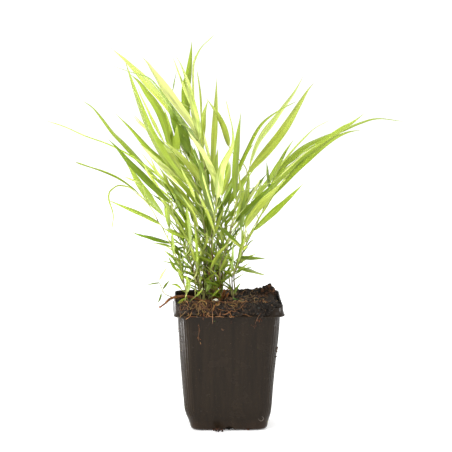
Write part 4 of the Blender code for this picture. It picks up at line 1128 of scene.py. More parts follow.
yo = ybag.build("young_stems", M_CULM)
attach(yo, "root")
for t, b in tone_bags.items():
    if b.n:
        ob = b.build("small_leaves_" + t, TONES[t], sharp=50)
        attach(ob, "root")

# ----------------------------------------------- old sheaths round the crown
HUSK_COL = [s2l(150, 104, 58), s2l(120, 84, 48), s2l(172, 132, 84), s2l(104, 96, 50), s2l(126, 120, 62), s2l(92, 62, 38), s2l(176, 112, 56)]
hb = Bag()
rs = random.Random(11)


def put_strip(bag, pts, w0, col, n=10, thick=0.18, curl=0.35, seed=0):
    """Dry leaf scrap: a narrow curved strip with a pointed end."""
    p = spline(pts, n)
    t, A, B = frame_along(p)
    r = random.Random(seed)
    spin = r.uniform(0, 6.28)
    verts, cols = [], []
    for k in range(n):
        s = k / (n - 1)
        h = 0.5 * w0 * (0.55 + 0.6 * s if s < 0.35 else 0.76 * (1 - ((s - 0.35) / 0.65) ** 1.4) + 0.03)
        c, sn = math.cos(spin + 0.9 * s), math.sin(spin + 0.9 * s)
        wd = A[k] * c + B[k] * sn
        nd = -A[k] * sn + B[k] * c
        row = []
        for x in (-1, -0.5, 0, 0.5, 1):
            row.append((x, p[k] + wd * h * x + nd * curl * h * x * x))
        up = [q + nd * thick * 0.5 * (1 - 0.6 * x * x) for x, q in row]
        dn = [q - nd * thick * 0.5 * (1 - 0.6 * x * x) for x, q in row]
        verts += up + dn[-2:0:-1]
        f = 0.8 + 0.35 * s + 0.12 * math.sin(17 * s + seed)
        cols += [np.array(col) * f] * 8
    bag.put(verts, ring_faces(8, n), None, cols)


allines = dict(culm_lines)
core = [n_ for n_ in culm_lines if n_ in ("culm_02", "culm_03", "culm_04", "culm_05", "culm_06", "culm_07", "culm_08", "culm_09", "culm_10", "culm_11", "culm_12")]
for k in range(70):
    nm = rs.choice(core)
    ln = culm_lines[nm]
    zmax = rs.choice((0.08, 0.12, 0.18, 0.26, 0.36))
    i = int(rs.uniform(0.01, zmax) * 69) + 1
    q = ln[i]
    t = ln[i + 1] - ln[i - 1]
    t /= np.linalg.norm(t)
    o = np.array([rs.gauss(0, 1), rs.gauss(0, 1), rs.gauss(0, 0.3)])
    o -= t * np.dot(o, t)
    o /= np.linalg.norm(o)
    L = rs.uniform(7, 24)
    sp = rs.uniform(0.05, 0.32) * L
    pts = [q - t * 2 + o * 0.3, q + t * L * 0.35 + o * (0.5 + sp * 0.15), q + t * L * 0.75 + o * (0.6 + sp * 0.5), q + t * L + o * sp]
    col = np.array(rs.choice(HUSK_COL)) * rs.uniform(0.6, 1.15)
    put_strip(hb, pts, rs.uniform(0.8, 2.0), col, seed=k)
# loose sheaths hugging the middle stems higher up: the olive-brown core of the clump
for k in range(22):
    nm = rs.choice(("culm_06", "culm_07", "culm_08", "culm_09", "culm_10", "culm_04", "culm_05"))
    ln = culm_lines[nm]
    i = int(rs.uniform(0.05, 0.62) * 69) + 1
    q = ln[i]
    t = ln[i + 1] - ln[i - 1]
    t /= np.linalg.norm(t)
    o = np.array([rs.gauss(0, 1), rs.gauss(0, 1), 0.0])
    o -= t * np.dot(o, t)
    o /= np.linalg.norm(o)
    L = rs.uniform(10, 26)
    sp = rs.uniform(0.02, 0.14) * L
    col = np.array(rs.choice((s2l(128, 128, 62), s2l(140, 142, 72), s2l(112, 100, 54), s2l(150, 156, 84), s2l(122, 92, 54)))) * rs.uniform(0.7, 1.1)
    pts = [q - t * 1.5 + o * 0.3, q + t * L * 0.4 + o * (0.6 + sp * 0.2), q + t * L * 0.75 + o * (0.7 + sp * 0.5), q + t * L + o * (0.6 + sp)]
    put_strip(hb, pts, rs.uniform(0.9, 2.0), col, seed=1000 + k)
# orange-brown sheath clump low on the right of the crown
for k in range(34):
    x, y = rs.uniform(-10.5, -2.5), rs.uniform(4.0, 12.0)
    h = rs.uniform(5.0, 13.0)
    ox, oy = rs.gauss(0.12, 0.22), rs.gauss(-0.1, 0.25)
    z0 = soil_z(x, y) - 0.5
    pts = [(x, y, z0), (x + ox * h * 0.3, y + oy * h * 0.3, z0 + h * 0.4), (x + ox * h * 0.7, y + oy * h * 0.7, z0 + h * 0.75),
           (x + ox * h * 1.3, y + oy * h * 1.3, z0 + h)]
    pts = [np.array(q) for q in pts]
    col = np.array(rs.choice((s2l(150, 98, 50), s2l(170, 112, 60), s2l(122, 78, 42), s2l(96, 60, 36), s2l(138, 104, 54)))) * rs.uniform(0.6, 1.05)
    put_strip(hb, pts, rs.uniform(0.9, 2.0), col, seed=3000 + k)
# knobbly crown: short stubs of old stems
for k in range(46):
    a = rs.uniform(0, 2 * math.pi)
    rr = math.sqrt(rs.random()) * 0.98
    x = CROWN[0] + 4 + CROWN_R[0] * 0.62 * rr * math.cos(a)
    y = CROWN[1] - 3 + CROWN_R[1] * 0.8 * rr * math.sin(a)
    z = soil_z(x, y)
    h = rs.uniform(2.5, 10.5) * (1.15 - 0.5 * rr)
    lean = np.array([math.cos(a) * rr * 0.7 + rs.uniform(-.25, .25), math.sin(a) * rr * 0.7 + rs.uniform(-.25, .25), 1.0])
    lean /= np.linalg.norm(lean)
    p0 = np.array([x, y, z - 2.0])
    r = rs.uniform(0.5, 1.2)
    n = 7
    pts = [p0 + lean * (h + 2.0) * t for t in np.linspace(0, 1, n)]
    col = np.array(rs.choice(HUSK_COL[:3] + HUSK_COL[5:])) * rs.uniform(0.45, 0.95)
    put_tube(hb, pts, [r * 1.1, r * 1.15, r, r * 0.95, r * 0.85, r * 0.8, r * 0.45], 7, [col * f for f in np.linspace(0.7, 1.2, n)])
hob = hb.build("old_sheaths", M_HUSK)
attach(hob, "root")
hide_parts("crown")

# ====================================================================== peat
fb = 0
seedv = Vector((3.1, 7.7, 1.3))


def nz(x, y, z=0.0, f=1.0):
    return mnoise.noise(Vector((x * f, y * f, z)) + seedv)


def peat_z(x, y):
    """Fine height of the peat: the CAD surface with clods and pores."""
    z = soil_z(x, y)
    e = max(abs(x), abs(y))
    fade = min(1.0, max(0.0, (41.9 - e) / 3.0))
    d = 1.5 * nz(x, y, 0, 0.11) + 1.1 * nz(x, y, 4, 0.27) + 0.75 * nz(x, y, 9, 0.62) + 0.45 * nz(x, y, 5, 1.3)
    d += 1.9 * max(0.0, nz(x, y, 14, 0.2)) ** 1.2
    # heaped towards the front rim, and a clod at the back right
    front = min(1.0, max(0.0, (-y - 12.0) / 24.0)) * min(1.0, max(0.0, (40.0 - x) / 8.0))
    d += 2.3 * front
    d += 0.9 * math.exp(-((x - 38.0) ** 2 + (y - 27.0) ** 2) / 22.0)
    back = min(1.0, max(0.0, (y - 20.0) / 15.0)) * min(1.0, max(0.0, (x + 16.0) / 12.0))
    heap = back * (4.5 + 1.3 * nz(x, y, 40, 0.2) + 0.8 * nz(x, y, 44, 0.7))
    return z + d * (0.35 + 0.65 * fade) + heap * (0.7 + 0.3 * fade)


NG = 150
g = np.linspace(-1, 1, NG)
verts, cols, faces = [], [], []
index = {}
H = 41.95
for j, b in enumerate(g):
    for i, a in enumerate(g):
        # square grid pulled onto the rounded outline
        x, y = a * H, b * H
        m_ = max(abs(a), abs(b))
        if m_ > 0:
            r = 8.8
            ax, ay = abs(x), abs(y)
            if ax > (H - r) and ay > (H - r):
                dx, dy = ax - (H - r), ay - (H - r)
                L = math.hypot(dx, dy)
                mx_ = max(dx, dy)
                k = mx_ / L if L > 0 else 1
                ax, ay = (H - r) + dx * k, (H - r) + dy * k
                x, y = math.copysign(ax, x), math.copysign(ay, y)
        z = peat_z(x, y)
        verts.append((x, y, z))
        n1 = nz(x, y, 22, 0.35)
        n2 = nz(x, y, 31, 1.1)
        c = np.array(s2l(36, 30, 25))
        # painted shade: the peat is drawn darker in the small hollows of its surface and lighter on the tops of its
        # clods, by the same noise that shapes its height
        c = c * (1.0 + 0.5 * n1 + 0.5 * n2) * max(0.3, 1.0 + 1.3 * (0.6 * nz(x, y, 9, 0.62) + 0.5 * nz(x, y, 5, 1.3)))
        c = c * (1.0 - 0.35 * min(1.0, max(0.0, (x - 12.0) / 14.0)))
        if n2 > 0.42:
            c = 0.55 * c + 0.45 * np.array(s2l(84, 66, 48))
        if n1 > 0.38:
            c = 0.6 * c + 0.4 * np.array(s2l(70, 64, 54))
        cols.append(np.maximum(c, 0.002))
for j in range(NG - 1):
    for i in range(NG - 1):
        q = j * NG + i
        faces.append((q, q + 1, q + NG + 1, q + NG))
# close it downwards: a skirt and a flat underside a little way down
rim_idx = [i for i in range(NG)] + [j * NG + NG - 1 for j in range(1, NG)] + \
          [(NG - 1) * NG + i for i in range(NG - 2, -1, -1)] + [j * NG for j in range(NG - 2, 0, -1)]
base0 = len(verts)
for q in rim_idx:
    x, y, _ = verts[q]
    verts.append((x * 0.985, y * 0.985, 96.9))
    cols.append(np.array(s2l(30, 24, 19)))
nr = len(rim_idx)
for k in range(nr):
    k2 = (k + 1) % nr
    faces.append((rim_idx[k2], rim_idx[k], base0 + k, base0 + k2))
base1 = len(verts)
for q in rim_idx:
    x, y, _ = verts[q]
    verts.append((x * 0.90, y * 0.90, 92.0))
    cols.append(np.array(s2l(30, 24, 19)))
for k in range(nr):
    k2 = (k + 1) % nr
    faces.append((base0 + k2, base0 + k, base1 + k, base1 + k2))
faces.append(tuple(base1 + k for k in range(nr)))
pb = Bag()
pb.put(verts, faces, None, cols)
peat = pb.build("peat_top", M_CRUMB)
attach(peat, "root")

# crumbs and clods -----------------------------------------------------------
ICO = []
bm = bmesh.new()
bmesh.ops.create_icosphere(bm, subdivisions=1, radius=1.0)
ICO_V = np.array([v.co[:] for v in bm.verts])
ICO_F = [tuple(v.index for v in f.verts) for f in bm.faces]
bm.free()


def put_crumb(bag, c, r, col, rs):
    ang = [rs.uniform(0, 6.28) for _ in range(3)]
    R = np.array(Matrix.Rotation(ang[0], 3, "X") @ Matrix.Rotation(ang[1], 3, "Y") @ Matrix.Rotation(ang[2], 3, "Z"))
    sc = np.array([rs.uniform(0.6, 1.3), rs.uniform(0.5, 1.1), rs.uniform(0.4, 0.9)])
    jit = np.array([rs.uniform(0.7, 1.25) for _ in range(len(ICO_V))])[:, None]
    v = (ICO_V * jit * sc) @ R.T * r + np.array(c)
    bag.put(v, ICO_F, None, np.array(col))


CRUMB_COL = [s2l(36, 30, 24), s2l(26, 22, 18), s2l(46, 38, 31), s2l(58, 47, 38), s2l(31, 28, 25), s2l(40, 32, 25), s2l(24, 20, 17),
             s2l(72, 56, 42), s2l(104, 92, 74), s2l(58, 58, 55), s2l(30, 27, 24), s2l(38, 32, 27), s2l(22, 19, 16), s2l(28, 24, 20), s2l(33, 29, 25)]
cb = Bag()
rs = random.Random(21)


def over_rim(x, q):
    """Point on the drape that starts on the peat at y = -36 and runs over the front rim."""
    prof = [(-36.0, peat_z(x, -36.0)), (-39.5, 103.2), (-42.0, 103.9), (-43.6, 103.8), (-44.6, 103.0), (-45.0, 101.5), (-45.3, 97.5), (-46.0, 95.6), (-46.2, 94.4)]
    for (y0, z0), (y1, z1) in zip(prof, prof[1:]):
        L = math.hypot(y1 - y0, z1 - z0)
        if q <= L:
            t = q / L
            return np.array([x, y0 + (y1 - y0) * t, z0 + (z1 - z0) * t])
        q -= L
    return np.array([x, prof[-1][0], prof[-1][1]])


# peat heaped over the front rim: a draped crust with a ragged lower edge
def ragged(x):
    r = 15.2 + 2.0 * nz(x, 0, 61, 0.085) + 1.7 * nz(x, 0, 64, 0.24) + 1.3 * nz(x, 0, 66, 0.7)
    if x > 31:
        r -= 5.6 * min(1.0, (x - 31) / 6)
    if x < -36:
        r -= 2.0 * (-36 - x) / 7
    return max(5.0, min(17.2, r))


def crust(x, q):
    """Outer and inner point of the crust at run q of the drape."""
    rg = ragged(x)
    t = min(1.0, max(0.0, (q - 0.4) / (rg - 0.4)))
    p = over_rim(x, q)
    p2 = over_rim(x, q + 0.25)
    tn = p2 - p
    nn_ = np.array([0.0, tn[2], -tn[1]])
    nn_ /= np.linalg.norm(nn_) + 1e-9
    ends = max(0.0, min(1.0, (x + 43.2) / 3.0, (42.4 - x) / 2.5))
    w = math.sin(math.pi * min(1.0, 0.14 + 0.88 * t)) ** 0.5 * ends ** 0.5
    h = 0.12 + w * max(0.25, 1.7 + 1.0 * nz(x, q * 1.3, 71, 0.16) + 1.1 * nz(x, q * 1.3, 74, 0.45) + 0.75 * nz(x, q * 1.2, 77, 1.1))
    corner = max(0.0, abs(x) - 35.5)
    pp = p + np.array([0.0, corner * corner * 0.055, 0.0])
    return pp + nn_ * h, pp - nn_ * 0.25


NX, NQ = 230, 40
outer, inner, scol = [], [], []
for i in range(NX):
    x = -43.2 + 85.6 * i / (NX - 1)
    rg = ragged(x)
    for j in range(NQ):
        q = 0.4 + (rg - 0.4) * j / (NQ - 1)
        po, pi_ = crust(x, q)
        outer.append(po)
        inner.append(pi_)
        n1, n2 = nz(x, q, 22, 0.4), nz(x, q, 31, 1.2)
        # painted shade: the crust is drawn darker where it dips and lighter where it heaps up, by the same noise that
        # sets its thickness
        c = np.array(s2l(37, 31, 26)) * (1.0 + 0.5 * n1 + 0.5 * n2) * max(0.3, 1.0 + 1.5 * (0.6 * nz(x, q * 1.3, 74, 0.45) + 0.5 * nz(x, q * 1.2, 77, 1.1)))
        c = c * (1.0 - 0.35 * min(1.0, max(0.0, (x - 12.0) / 14.0)))
        if n2 > 0.4:
            c = 0.55 * c + 0.45 * np.array(s2l(84, 64, 46))
        scol.append(np.maximum(c, 0.002))
NV = NX * NQ
sv_ = outer + inner
sf_ = []
for i in range(NX - 1):
    for j in range(NQ - 1):
        a = i * NQ + j
        sf_.append((a, a + 1, a + NQ + 1, a + NQ))
        sf_.append((NV + a, NV + a + NQ, NV + a + NQ + 1, NV + a + 1))
for i in range(NX - 1):
    a = i * NQ
    sf_.append((a, a + NQ, NV + a + NQ, NV + a))
    a = i * NQ + NQ - 1
    sf_.append((a, NV + a, NV + a + NQ, a + NQ))
for j in range(NQ - 1):
    sf_.append((j, NV + j, NV + j + 1, j + 1))
    a = (NX - 1) * NQ + j
    sf_.append((a, a + 1, NV + a + 1, NV + a))
spb = Bag()
spb.put(sv_, sf_, None, scol + scol)
spill = spb.build("peat_over_rim", M_CRUMB)
bm = bmesh.new()
bm.from_mesh(spill.data)
bmesh.ops.recalc_face_normals(bm, faces=bm.faces)
bm.to_mesh(spill.data)
bm.free()
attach(spill, "root")

for k in range(2600):
    x, y = rs.uniform(-40, 40), rs.uniform(-40.5, 40.5)
    r = 0.28 + 1.1 * rs.random() ** 3.5
    col = np.array(rs.choice(CRUMB_COL)) * rs.uniform(0.5, 1.35)
    if col[1] > 0.06:
        r = min(r, 0.42)
    put_crumb(cb, (x, y, peat_z(x, y) + r * 0.25), r, col, rs)
# the high lump at the back right
for k in range(260):
    a, rr = rs.uniform(0, 6.28), rs.random() ** 0.7 * 8.5
    x, y = 35.0 + rr * math.cos(a), 28.5 + rr * math.sin(a) * 0.9
    if abs(x) > 41 or abs(y) > 41:
        continue
    r = rs.uniform(0.5, 1.7)
    col = np.array(rs.choice((s2l(50, 35, 27), s2l(70, 47, 34), s2l(40, 31, 25), s2l(32, 27, 23), s2l(92, 62, 44)))) * rs.uniform(0.6, 1.15)
    put_crumb(cb, (x, y, peat_z(x, y) + rs.uniform(0.0, 1.6) * (1 - rr / 10)), r, col, rs)
# peat lying on the front rim and hanging over its edge
for k in range(1300):
    x = rs.uniform(-42, 41)
    q = rs.uniform(0.6, ragged(x) + 0.2)
    r = 0.3 + 0.9 * rs.random() ** 2.6
    if rs.random() < 0.2:
        r = 0.3
    col = np.array(rs.choice(CRUMB_COL)) * rs.uniform(0.6, 1.2)
    if col[1] > 0.06:
        r = min(r, 0.4)
    p = crust(x, q)[0]
    put_crumb(cb, p, r * 0.9, col, rs)
# thin scatter on the side and back rims
for k in range(150):
    side = rs.choice((-1, 1, 2))
    t = rs.uniform(-38, 38)
    if side == 2:
        c = (t, rs.uniform(41.0, 43.3), 103.2)
        if t < 0 and rs.random() < 0.7:
            continue
    else:
        c = (side * rs.uniform(41.2, 43.2), t, 103.2)
    r = 0.25 + 0.6 * rs.random() ** 2
    put_crumb(cb, (c[0], c[1], c[2] + r * 0.1), r, np.array(rs.choice(CRUMB_COL)) * rs.uniform(0.6, 1.2), rs)
crumbs = cb.build("peat_crumbs", M_CRUMB, smooth=False)
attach(crumbs, "root")

# fibres in the peat ---------------------------------------------------------
FIB = [s2l(150, 118, 78), s2l(118, 84, 50), s2l(96, 62, 38), s2l(170, 140, 96), s2l(84, 54, 34), s2l(140, 86, 46)]
fbg = Bag()
rs = random.Random(33)


def put_fibre(bag, pts, r, col, n=9, sides=4):
    p = spline(pts, n)
    rr = [r * (1 - 0.6 * abs(2 * k / (n - 1) - 1) ** 3) for k in range(n)]
    put_tube(bag, p, rr, sides, np.array(col))


for k in range(480):
    x, y = rs.uniform(-39, 39), rs.uniform(-40, 38)
    L = rs.uniform(4, 15)
    a = rs.uniform(0, 6.28)
    pts = []
    for j in range(5):
        xx = max(-40.5, min(40.5, x))
        yy = max(-41, min(41, y))
        pts.append((xx, yy, peat_z(xx, yy) + rs.uniform(0.1, 1.3) * (1.0 if 0 < j < 4 else 0.3)))
        a += rs.gauss(0, 0.55)
        x += L / 4 * math.cos(a)
        y += L / 4 * math.sin(a)
    put_fibre(fbg, pts, rs.uniform(0.08, 0.24), np.array(rs.choice(FIB)) * rs.uniform(0.5, 1.15))
fib = fbg.build("peat_fibres", M_ROOTS)
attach(fib, "root")

# ------------------------------------------------------------- the root mat
ROOTC = [s2l(116, 80, 50), s2l(136, 96, 60), s2l(98, 64, 40), s2l(74, 52, 36), s2l(152, 120, 76), s2l(104, 68, 42), s2l(56, 42, 30), s2l(124, 82, 48), s2l(66, 48, 34), s2l(48, 37, 28), s2l(146, 118, 66)]
rb = Bag()
rs = random.Random(47)


def drape(x, q):
    """Point at run q along the peat from the back of the mat, over the rim, down the skirt."""
    y0 = -8.0
    if q < 28.0:
        y = y0 - q
        return np.array([x, y, peat_z(x, y)])
    q -= 28.0
    return crust(x, q)[0] if q < ragged(x) else over_rim(x, q) + np.array([0.0, -0.3, 0.0])


def drape_n(x, q):
    a, b = drape(x, q - 0.6), drape(x, q + 0.6)
    t = b - a
    n = np.array([0.0, t[2], -t[1]])
    n = n / (np.linalg.norm(n) + 1e-9)
    return n if n[2] > -0.2 else -n


for k in range(460):
    x = -20.0 + rs.gauss(0, 10.0)
    q = 27 + rs.gauss(0, 7.5)
    if k % 5 == 0:
        x, q = rs.uniform(-39, 8), rs.uniform(18, 42)
    if abs(x) > 39:
        continue
    L = rs.uniform(5, 24)
    a = rs.uniform(0, 6.28)
    pts = []
    n = 7
    hgt = rs.uniform(0.2, 2.2)
    for j in range(n):
        xx = max(-40, min(39, x))
        qq = max(2.0, min(44.5, q))
        lift = 0.15 + hgt * math.sin(math.pi * j / (n - 1)) * rs.uniform(0.5, 1.3)
        pts.append(drape(xx, qq) + drape_n(xx, qq) * lift)
        a += rs.gauss(0, 0.38)
        x += L / n * math.cos(a)
        q += L / n * math.sin(a)
    rad = rs.uniform(0.10, 0.26) if rs.random() < 0.78 else rs.uniform(0.26, 0.46)
    put_fibre(rb, pts, rad, np.array(rs.choice(ROOTC)) * rs.uniform(0.45, 1.25), n=16, sides=4)
# runners along the left of the peat, from the mat to the left rim
for k in range(16):
    y = rs.uniform(-14, 6)
    pts = []
    for j, x in enumerate(np.linspace(rs.uniform(-41, -36), rs.uniform(-16, -6), 6)):
        yy = y + 3 * math.sin(j * 0.8 + k) + rs.uniform(-1, 1)
        pts.append((x, yy, peat_z(x, yy) + rs.uniform(0.5, 2.0)))
    put_fibre(rb, pts, rs.uniform(0.3, 0.8), np.array(rs.choice(ROOTC[:4])) * rs.uniform(0.7, 1.2), n=22, sides=6)
# threads hanging down the front of the pot
hang = [
    ([at(211.5, 305, -44.5), at(212.2, 311, -46.6), at(212.6, 317, -46.9), at(212.6, 324, -42.6)], 0.22, s2l(150, 110, 80)),
    ([at(203, 309, -45.5), at(203.6, 315, -46.6), at(203, 320, -44.0)], 0.2, s2l(120, 74, 44)),
    ([at(192, 310, -45.5), at(190, 316, -46.5), at(186, 319.5, -45.0)], 0.25, s2l(160, 112, 66)),
    ([at(198.5, 324, -41.2), at(199.4, 330, -40.9), at(198.4, 336, -40.8), at(198.8, 341, -40.6)], 0.2, s2l(92, 62, 38)),
    ([at(262, 312, -46.0), at(258, 317, -46.4), at(255, 324, -41.9)], 0.26, s2l(84, 58, 40)),
]
for pts, r, col in hang:
    put_fibre(rb, pts, r, col, n=14, sides=5)
rob = rb.build("root_strands", M_ROOTS)
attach(rob, "root")
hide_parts("root_mat")

# stray woody root, knobbly, with side hairs
sb = Bag()
line = spline([(-20.0, 2.0, peat_z(-20, 2) + 1.4), (-27.0, 4.5, 103.4), (-32.0, 6.0, 104.4), (-38.0, 2.0, 105.2), (-46.5, -2.5, 104.6), (-52.0, -5.0, 100.4), (-56.5, -6.5, 97.4)], 46)
rad = [0.55 + 0.75 * math.sin(math.pi * min(1, (k + 6) / 52)) + 0.10 * math.sin(k * 1.9) + 0.08 * math.sin(k * 0.7 + 2) for k in range(46)]
cols = [np.array(s2l(134, 86, 52)) * (0.85 + 0.25 * math.sin(k * 0.9) + 0.1 * math.sin(k * 2.3)) for k in range(46)]
put_tube(sb, line, rad, 9, cols)
rs = random.Random(5)
for k in range(12):
    i = rs.randint(4, 43)
    q = line[i]
    d = np.array([rs.uniform(-1, 1), rs.uniform(-1, 1), rs.uniform(-0.9, 0.5)])
    d /= np.linalg.norm(d)
    L = rs.uniform(2.5, 7)
    put_fibre(sb, [q, q + d * L * 0.5 + np.array([rs.uniform(-1, 1), rs.uniform(-1, 1), 0]), q + d * L], 0.16, s2l(128, 78, 46), n=8, sides=4)
so = sb.build("stray_root_fine", M_ROOTS)
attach(so, "root")
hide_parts("stray_root")

# perlite grain --------------------------------------------------------------
bm = bmesh.new()
bmesh.ops.create_icosphere(bm, subdivisions=4, radius=1.0)
c0 = (np.array(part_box("perlite_grain")).mean(axis=0)) / MM
gv = []
for v in bm.verts:
    p = v.co.copy()
    r = 2.1 * (1 + 0.22 * mnoise.noise(p * 1.7 + Vector((4, 1, 2))) + 0.10 * mnoise.noise(p * 5.0) - 0.14 * max(0, mnoise.noise(p * 9.0)))
    gv.append((c0[0] + p.x * r * 1.05, c0[1] + p.y * r, c0[2] + p.z * r * 0.85))
gf = [tuple(v.index for v in f.verts) for f in bm.faces]
bm.free()
gb = Bag()
gb.put(gv, gf, None, np.array(s2l(226, 222, 204)))
M_GRAIN = tint_material("perlite_fine", 0.85, 1600.0, 0.00025, 0.25, 0.3, (0.62, 0.6, 0.52))
go = gb.build("perlite_fine", M_GRAIN)
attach(go, "root")
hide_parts("perlite_grain")

tw = TW.build("twigs", M_CULM)
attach(tw, "root")

# ======================================================================= pot
def half_width(z):
    zs = [p[1] for p in POT_OUT if p[1] <= 94.2]
    hs = [p[0] for p in POT_OUT if p[1] <= 94.2]
    return float(np.interp(z, zs, hs))


def on_front(u, v, lift=0.0):
    """Point of the pot's front wall under a sketch point."""
    y = -35.0
    for _ in range(6):
        p = at(u, v, y)
        y = -half_width(p[2])
    return at(u, v, y - lift)


CS, SS = 24, 40


def fine_square(h, r):
    """Rounded square with evenly split sides, counter-clockwise; returns points and outward directions."""
    pts, nrm = [], []
    for k, (sx, sy) in enumerate(((1, 1), (-1, 1), (-1, -1), (1, -1))):
        cx, cy = sx * (h - r), sy * (h - r)
        for i in range(CS + 1):
            a = math.radians(90 * k + 90 * i / CS)
            pts.append((cx + r * math.cos(a), cy + r * math.sin(a)))
            nrm.append((math.cos(a), math.sin(a)))
        a = math.radians(90 * (k + 1))
        sx2, sy2 = ((1, 1), (-1, 1), (-1, -1), (1, -1))[(k + 1) % 4]
        ex, ey = sx2 * (h - r) + r * math.cos(a), sy2 * (h - r) + r * math.sin(a)
        bx, by = pts[-1]
        for i in range(1, SS):
            t = i / SS
            pts.append((bx + (ex - bx) * t, by + (ey - by) * t))
            nrm.append((math.cos(a), math.sin(a)))
    return pts, nrm


def refine(prof, steps):
    """Profile with extra rows on its long straight runs."""
    o = []
    for (h0, z0, r0), (h1, z1, r1) in zip(prof, prof[1:]):
        d = math.hypot(h1 - h0, z1 - z0)
        n = max(1, int(d / steps))
        for i in range(n):
            t = i / n
            o.append((h0 + (h1 - h0) * t, z0 + (z1 - z0) * t, r0 + (r1 - r0) * t))
    o.append(prof[-1])
    return o


FINE_OUT = [(27.6, 0.0, 6.0), (28.6, 0.0, 6.4), (29.5, 0.22, 6.9), (30.4, 0.75, 7.4), (31.0, 1.5, 7.7), (31.4, 2.4, 7.8), (31.8, 4.5, 8.0),
            (32.7, 8.0, 8.0), (33.6, 10.5, 8.1), (34.4, 13.0, 8.2), (35.3, 17.0, 8.3), (35.8, 21.0, 8.4), (36.4, 29.0, 8.6),
            (39.0, 62.0, 9.0), (41.3, 93.2, 9.4), (41.45, 94.1, 9.4), (41.9, 94.55, 9.6), (44.0, 94.6, 10.0),
            (44.65, 94.75, 10.15), (44.98, 95.15, 10.2), (45.0, 95.6, 10.2), (44.8, 96.1, 10.2), (44.35, 96.6, 10.1), (44.0, 97.4, 10.0),
            (43.7, 100.0, 10.0), (43.62, 102.0, 10.0), (43.5, 102.6, 9.95), (43.25, 102.95, 9.85), (42.95, 103.0, 9.7)]
FINE_IN = [(42.65, 102.85, 9.5), (42.45, 102.4, 9.3), (42.5, 99.5, 9.2), (42.6, 97.0, 9.2), (42.4, 96.4, 9.1), (41.8, 96.1, 9.0),
           (40.9, 95.9, 8.9), (40.5, 95.4, 8.8), (40.2, 94.0, 8.6), (37.9, 62.0, 8.2), (35.3, 29.0, 7.8),
           (34.3, 21.0, 7.6), (32.7, 13.0, 7.4), (31.3, 8.0, 7.2), (30.7, 4.5, 7.2), (29.6, 1.8, 6.8), (27.8, FLOOR_T, 6.0)]


def sag(z):
    """The moulding stands a touch to the left below its rim."""
    return -0.9 * min(1.0, max(0.0, (z - 3.0) / 14.0)) * min(1.0, max(0.3, (94.0 - z) / 48.0 + 0.1)) if z < 93.5 else -0.27 * max(0.0, (96.5 - z) / 3.0)


def lift_back(y, z):
    """The rim is a little sprung at the back."""
    return 1.5 * min(1.0, max(0.0, (z - 97.0) / 5.0)) * min(1.0, max(0.0, (y - 4.0) / 34.0))


rows_o = refine(FINE_OUT, 2.2)
rows_i = refine(FINE_IN, 6.0)
loops = []
for h, z, r in rows_o:
    pts, nr_ = fine_square(h, r)
    lp = []
    for (x, y), (nx, ny) in zip(pts, nr_):
        tpos = x * ny * -1 + y * nx          # run along the side
        d = 0.0
        if 26 < z < 92:
            env = min(1.0, (z - 26) / 8, (92 - z) / 6)
            side = 1.0 if max(abs(nx), abs(ny)) > 0.999 else 0.0
            d += env * side * (0.15 * math.sin(tpos * 2 * math.pi / 6.3 + 0.7) + 0.07 * math.sin(tpos * 2 * math.pi / 2.9))
        # drawn ridges round the corners
        if 4 < z < 93.5 and max(abs(nx), abs(ny)) <= 0.999:
            env = min(1.0, (z - 4) / 8, (93.5 - z) / 2)
            ang = math.degrees(math.atan2(abs(ny), abs(nx)))
            d += env * 0.15 * math.sin(ang * 2 * math.pi / 12.0 + 0.03 * z)
        # thin moulding is never quite flat
        d += 0.22 * mnoise.noise(Vector((x * 0.02, y * 0.02, z * 0.018))) * (1 if z > 4 else 0)
        if z > 94.3:
            d += 0.28 * mnoise.noise(Vector((x * 0.035 + 5, y * 0.035, 2.0)))
        # low boss round each notch
        if 0.6 < z < 6.2 and max(abs(nx), abs(ny)) > 0.999:
            e = min(1.0, max(0.0, (6.4 - abs(tpos)) / 0.8)) * min(1.0, max(0.0, (6.2 - z) / 0.9))
            d += 0.35 * e
        zz = z + (0.25 * mnoise.noise(Vector((x * 0.03, y * 0.03, 9.0))) if z > 94.3 else 0)
        zz = min(zz, 103.2) + lift_back(y, z)
        lp.append((x + nx * d + sag(z), y + ny * d, zz))
    loops.append(lp)
for h, z, r in rows_i:
    pts, nr_ = fine_square(h, r)
    lp = []
    for (x, y), (nx, ny) in zip(pts, nr_):
        d = 0.28 * mnoise.noise(Vector((x * 0.035 + 5, y * 0.035, 2.0))) if z > 96 else 0.0
        lp.append((x + nx * d + sag(z), y + ny * d, z + lift_back(y, z) + (0.25 * mnoise.noise(Vector((x * 0.03, y * 0.03, 9.0))) if z > 96.5 else 0)))
    loops.append(lp)
pv, pf = loft(loops)
me = bpy.data.meshes.new("pot_fine")
me.from_pydata([tuple(c * MM for c in p) for p in pv], [], pf)
bm = bmesh.new()
bm.from_mesh(me)
bmesh.ops.recalc_face_normals(bm, faces=bm.faces)
bm.to_mesh(me)
bm.free()
pot = bpy.data.objects.new("pot_fine", me)
bpy.context.scene.collection.objects.link(pot)

# the notch at the middle of each side, a small lip of it runs under the floor
cv, cf = [], []
for k in range(4):
    a = math.pi / 2 * k
    arc = [(3.4 * math.cos(t), 0.4 + 3.4 * math.sin(t) * 0.98) for t in np.linspace(0, math.pi, 13)]
    prof = [(-3.4, -1.0), (3.4, -1.0)] + arc
    lps = [[(x, y, z) for x, z in prof] for y in (-34.0, -30.7 + 7.0)]
    v, f = loft(lps)
    b0 = len(cv)
    cv += [(x * math.cos(a) - y * math.sin(a), x * math.sin(a) + y * math.cos(a), z) for x, y, z in v]
    cf += [tuple(i + b0 for i in q) for q in f]
for sx in (-1, 1):
    for sy in (-1, 1):
        v, f = loft([[(15.5 * sx + 3.0 * math.cos(2 * math.pi * i / 24), 15.5 * sy + 3.0 * math.sin(2 * math.pi * i / 24), z) for i in range(24)] for z in (-1.0, 3.0)])
        b0 = len(cv)
        cv += v
        cf += [tuple(i + b0 for i in q) for q in f]
cm = bpy.data.meshes.new("cutter")
cm.from_pydata([tuple(c * MM for c in p) for p in cv], [], cf)
bm = bmesh.new()
